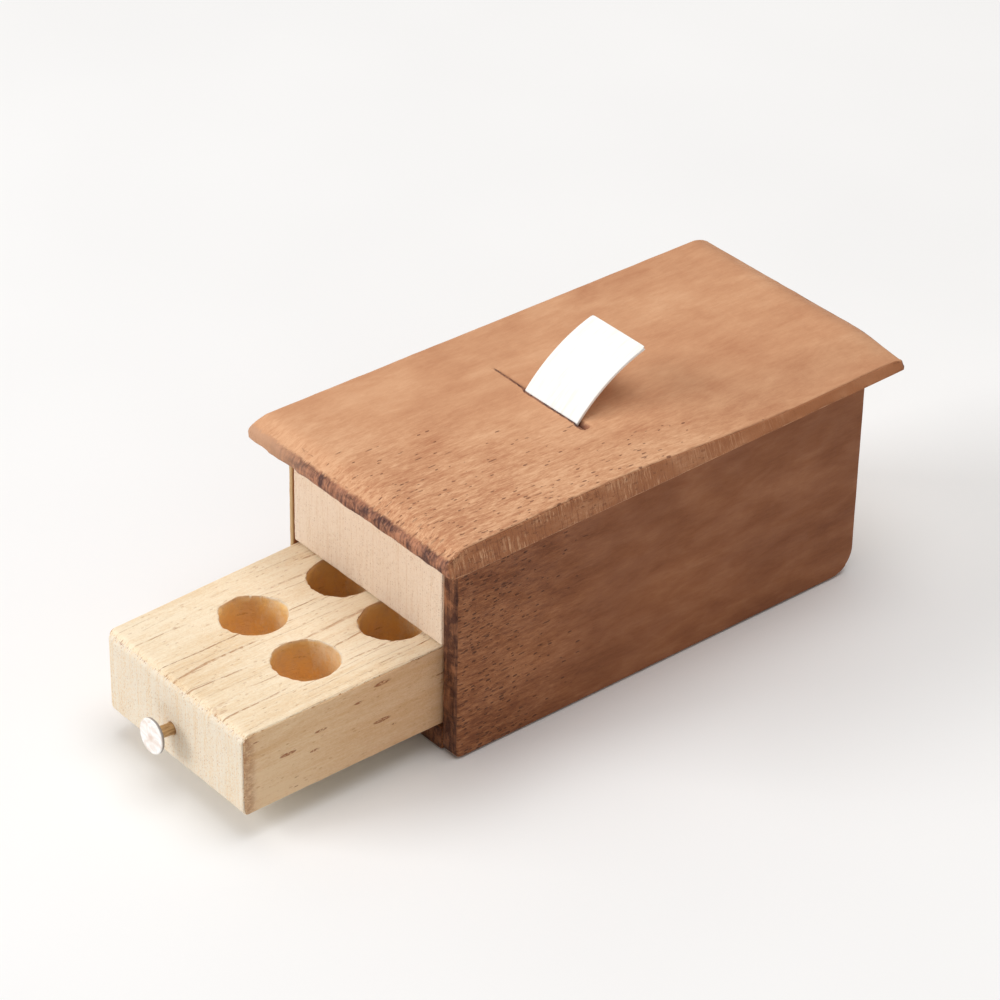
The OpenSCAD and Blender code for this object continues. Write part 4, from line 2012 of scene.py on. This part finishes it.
@dataclass
class CatchSlip:
    """The white strip, a thin flat block bent onto the kerf's arc.

    Attributes:
        foot: Angle of the lower end from level, degrees.
        tip: Angle of the upper end, degrees.
        thick: Thickness.
        corner: Radius of the corners of its outline.
        arris: Radius of its long arrises.
    """

    foot: float = 2.716
    tip: float = 74.4
    thick: float = 0.35
    corner: float = 0.65
    arris: float = 0.1

    def build(self, finishes: Finishes) -> None:
        """Bends the strip: y = cy - (R + w) cos(a), z = cz + (R + w) sin(a), a the foot's angle plus u / R.

        Args:
            finishes: The materials.
        """
        centre = slip_axis()
        low, high = box_mm("catch_slip")
        length = SLIP_RADIUS * math.radians(self.tip - self.foot)
        flat = Block(
            np.array([low[0], 0.0, -self.thick / 2]),
            np.array([high[0], length, self.thick / 2]),
            self.arris,
            0.25,
            turn=4,
            stops={Z: np.array([0.0, 1.0])},
        )
        for side in (LOW, HIGH):
            for end in (LOW, HIGH):
                flat.ease(X, side, Y, end, self.corner, self.corner)
        shell = Shell()
        for _, side, points, turn in flat.faces():
            angle = math.radians(self.foot) + points[..., 1] / SLIP_RADIUS
            reach = SLIP_RADIUS + points[..., 2]
            y, z = centre[1] - reach * np.cos(angle), centre[2] + reach * np.sin(angle)
            shell.add(np.stack([points[..., 0], y, z], axis=-1), flip=side == LOW, edge=turn)
        shell.weld()
        waver = Grain((2.5, 4.0, 4.0), 401, 2)
        shell.push(lambda p, n, t: 0.012 * (waver.at(p) - 1))
        place_piece(shell.to_object("white_strip"), finishes.slip, "slip", "white_slip", "catch_slip")


@dataclass
class InnerPieces:
    """The rails and the slip's guides inside the case, whose plain shapes stay and take a fresh finish.

    Attributes:
        nodes: The CAD nodes.
    """

    nodes: tuple[str, ...] = ("left_rail", "right_rail", "slip_guide_front", "slip_guide_rear")

    def build(self, finishes: Finishes) -> None:
        """Dresses the nodes.

        Args:
            finishes: The materials.
        """
        for node in self.nodes:
            piece = frame["nodes"][node]
            for slot in piece.material_slots:
                slot.material = finishes.panel.material
            if not piece.material_slots:
                piece.data.materials.append(finishes.panel.material)
            log.info("%s: the CAD shape, in pale wood", node)


@dataclass
class Studio:
    """Floor, soft lights and camera.

    Attributes:
        key_from: Direction of the main light as seen from the box.
        key_away: Its distance, m.
        key_power: Its power, W.
        key_size: Its width, m.
        top_at: Place of the overhead light, m.
        top_power: Its power, W.
        top_size: Its width, m.
        sky: Colour of the surroundings.
        sky_strength: Their strength.
        target: Point at the picture's middle, m.
        azimuth: Camera's turn from the front, degrees.
        elevation: Camera's height angle, degrees.
        roll: Camera's roll, degrees.
        distance: Camera's distance, m.
        lens: Focal length, mm.
        sensor: Width of the sensor, mm.
        floor_half: Half the floor's width, mm.
        floor_drop: How far the floor lies under the box, mm.
    """

    key_from: tuple[float, float, float] = (-0.457, -0.766, 0.452)
    key_away: float = 0.9
    key_power: float = 4.2
    key_size: float = 0.45
    top_at: tuple[float, float, float] = (0.05, 0.05, 0.8)
    top_power: float = 3.4
    top_size: float = 0.6
    sky: Tone = (1.0, 0.965, 0.93)
    sky_strength: float = 0.38
    target: tuple[float, float, float] = (-0.01172, 0.0, 0.005991)
    azimuth: float = 49.846
    elevation: float = 33.111
    roll: float = 1.068
    distance: float = 0.3760
    lens: float = 136.74
    sensor: float = 36.0
    floor_half: float = 3000.0
    floor_drop: float = 0.05

    def _floor(self) -> None:
        """A flat grid whose height is floor_drop under the box everywhere."""
        span = np.linspace(-self.floor_half, self.floor_half, 9)
        x, y = np.meshgrid(span, span, indexing="ij")
        shell = Shell()
        shell.add(np.stack([x, y, np.full_like(x, -self.floor_drop)], axis=-1))
        shell.weld()
        floor = shell.to_object("studio_floor")
        FloorFinish().material().dress(floor)
        floor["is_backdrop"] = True

    def _area(self, name: str, away: Vector, power: float, size: float) -> None:
        """Adds a square area light that looks at the box.

        Args:
            name: The light's name.
            away: Where it stands, m.
            power: Its power, W.
            size: Its width, m.
        """
        lamp = bpy.data.lights.new(name, "AREA")
        lamp.energy = power
        lamp.size = size
        light = bpy.data.objects.new(name, lamp)
        light.location = away
        light.rotation_mode = "QUATERNION"
        light.rotation_quaternion = (-away).to_track_quat("-Z", "Y")
        bpy.context.scene.collection.objects.link(light)

    def _camera(self) -> None:
        """Places the camera on a sphere round the target and rolls it."""
        a, e, r = (math.radians(v) for v in (self.azimuth, self.elevation, self.roll))
        back = Vector((math.sin(a) * math.cos(e), -math.cos(a) * math.cos(e), math.sin(e)))
        right = Vector((math.cos(a), math.sin(a), 0))
        up = back.cross(right)
        rolled_right = right * math.cos(r) + up * math.sin(r)
        rolled_up = up * math.cos(r) - right * math.sin(r)
        data = bpy.data.cameras.new("camera")
        data.lens = self.lens
        data.sensor_width = self.sensor
        data.clip_start = 0.01
        data.clip_end = 20
        camera = bpy.data.objects.new("camera", data)
        turned = Matrix((rolled_right, rolled_up, back)).transposed().to_4x4()
        camera.matrix_world = Matrix.Translation(Vector(self.target) + back * self.distance) @ turned
        bpy.context.scene.collection.objects.link(camera)
        bpy.context.scene.camera = camera

    def build(self) -> None:
        """Sets the floor, the lights, the surroundings and the camera."""
        self._floor()
        key_at = Vector(self.key_from).normalized() * self.key_away
        self._area("key_light", key_at, self.key_power, self.key_size)
        self._area("top_light", Vector(self.top_at), self.top_power, self.top_size)
        world = bpy.data.worlds.new("studio_sky")
        world.use_nodes = True
        background = world.node_tree.nodes["Background"]
        background.inputs[0].default_value = (*self.sky, 1)
        background.inputs[1].default_value = self.sky_strength
        scene = bpy.context.scene
        scene.world = world
        scene.view_settings.view_transform = "Standard"
        self._camera()


def write_sizes() -> None:
    """Works out the CAD box and the visual model's box, lowest and highest corners in metres, and leaves them
    unused.
    """
    boxes = {"cad": CAD_BOX, "visual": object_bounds()}
    {name: [list(corner) for corner in box] for name, box in boxes.items()}


def main() -> None:
    """Builds the box piece by piece, then the studio round it."""
    logging.basicConfig(level=logging.INFO, format="%(name)s: %(message)s")
    finishes = Finishes.make()
    CaseBoards().build(finishes)
    InnerPieces().build(finishes)
    TopBoard().build(finishes)
    Drawer().build(finishes)
    Knob().build(finishes)
    CatchSlip().build(finishes)
    Studio().build()
    write_sizes()


if __name__ == "__main__":
    main()
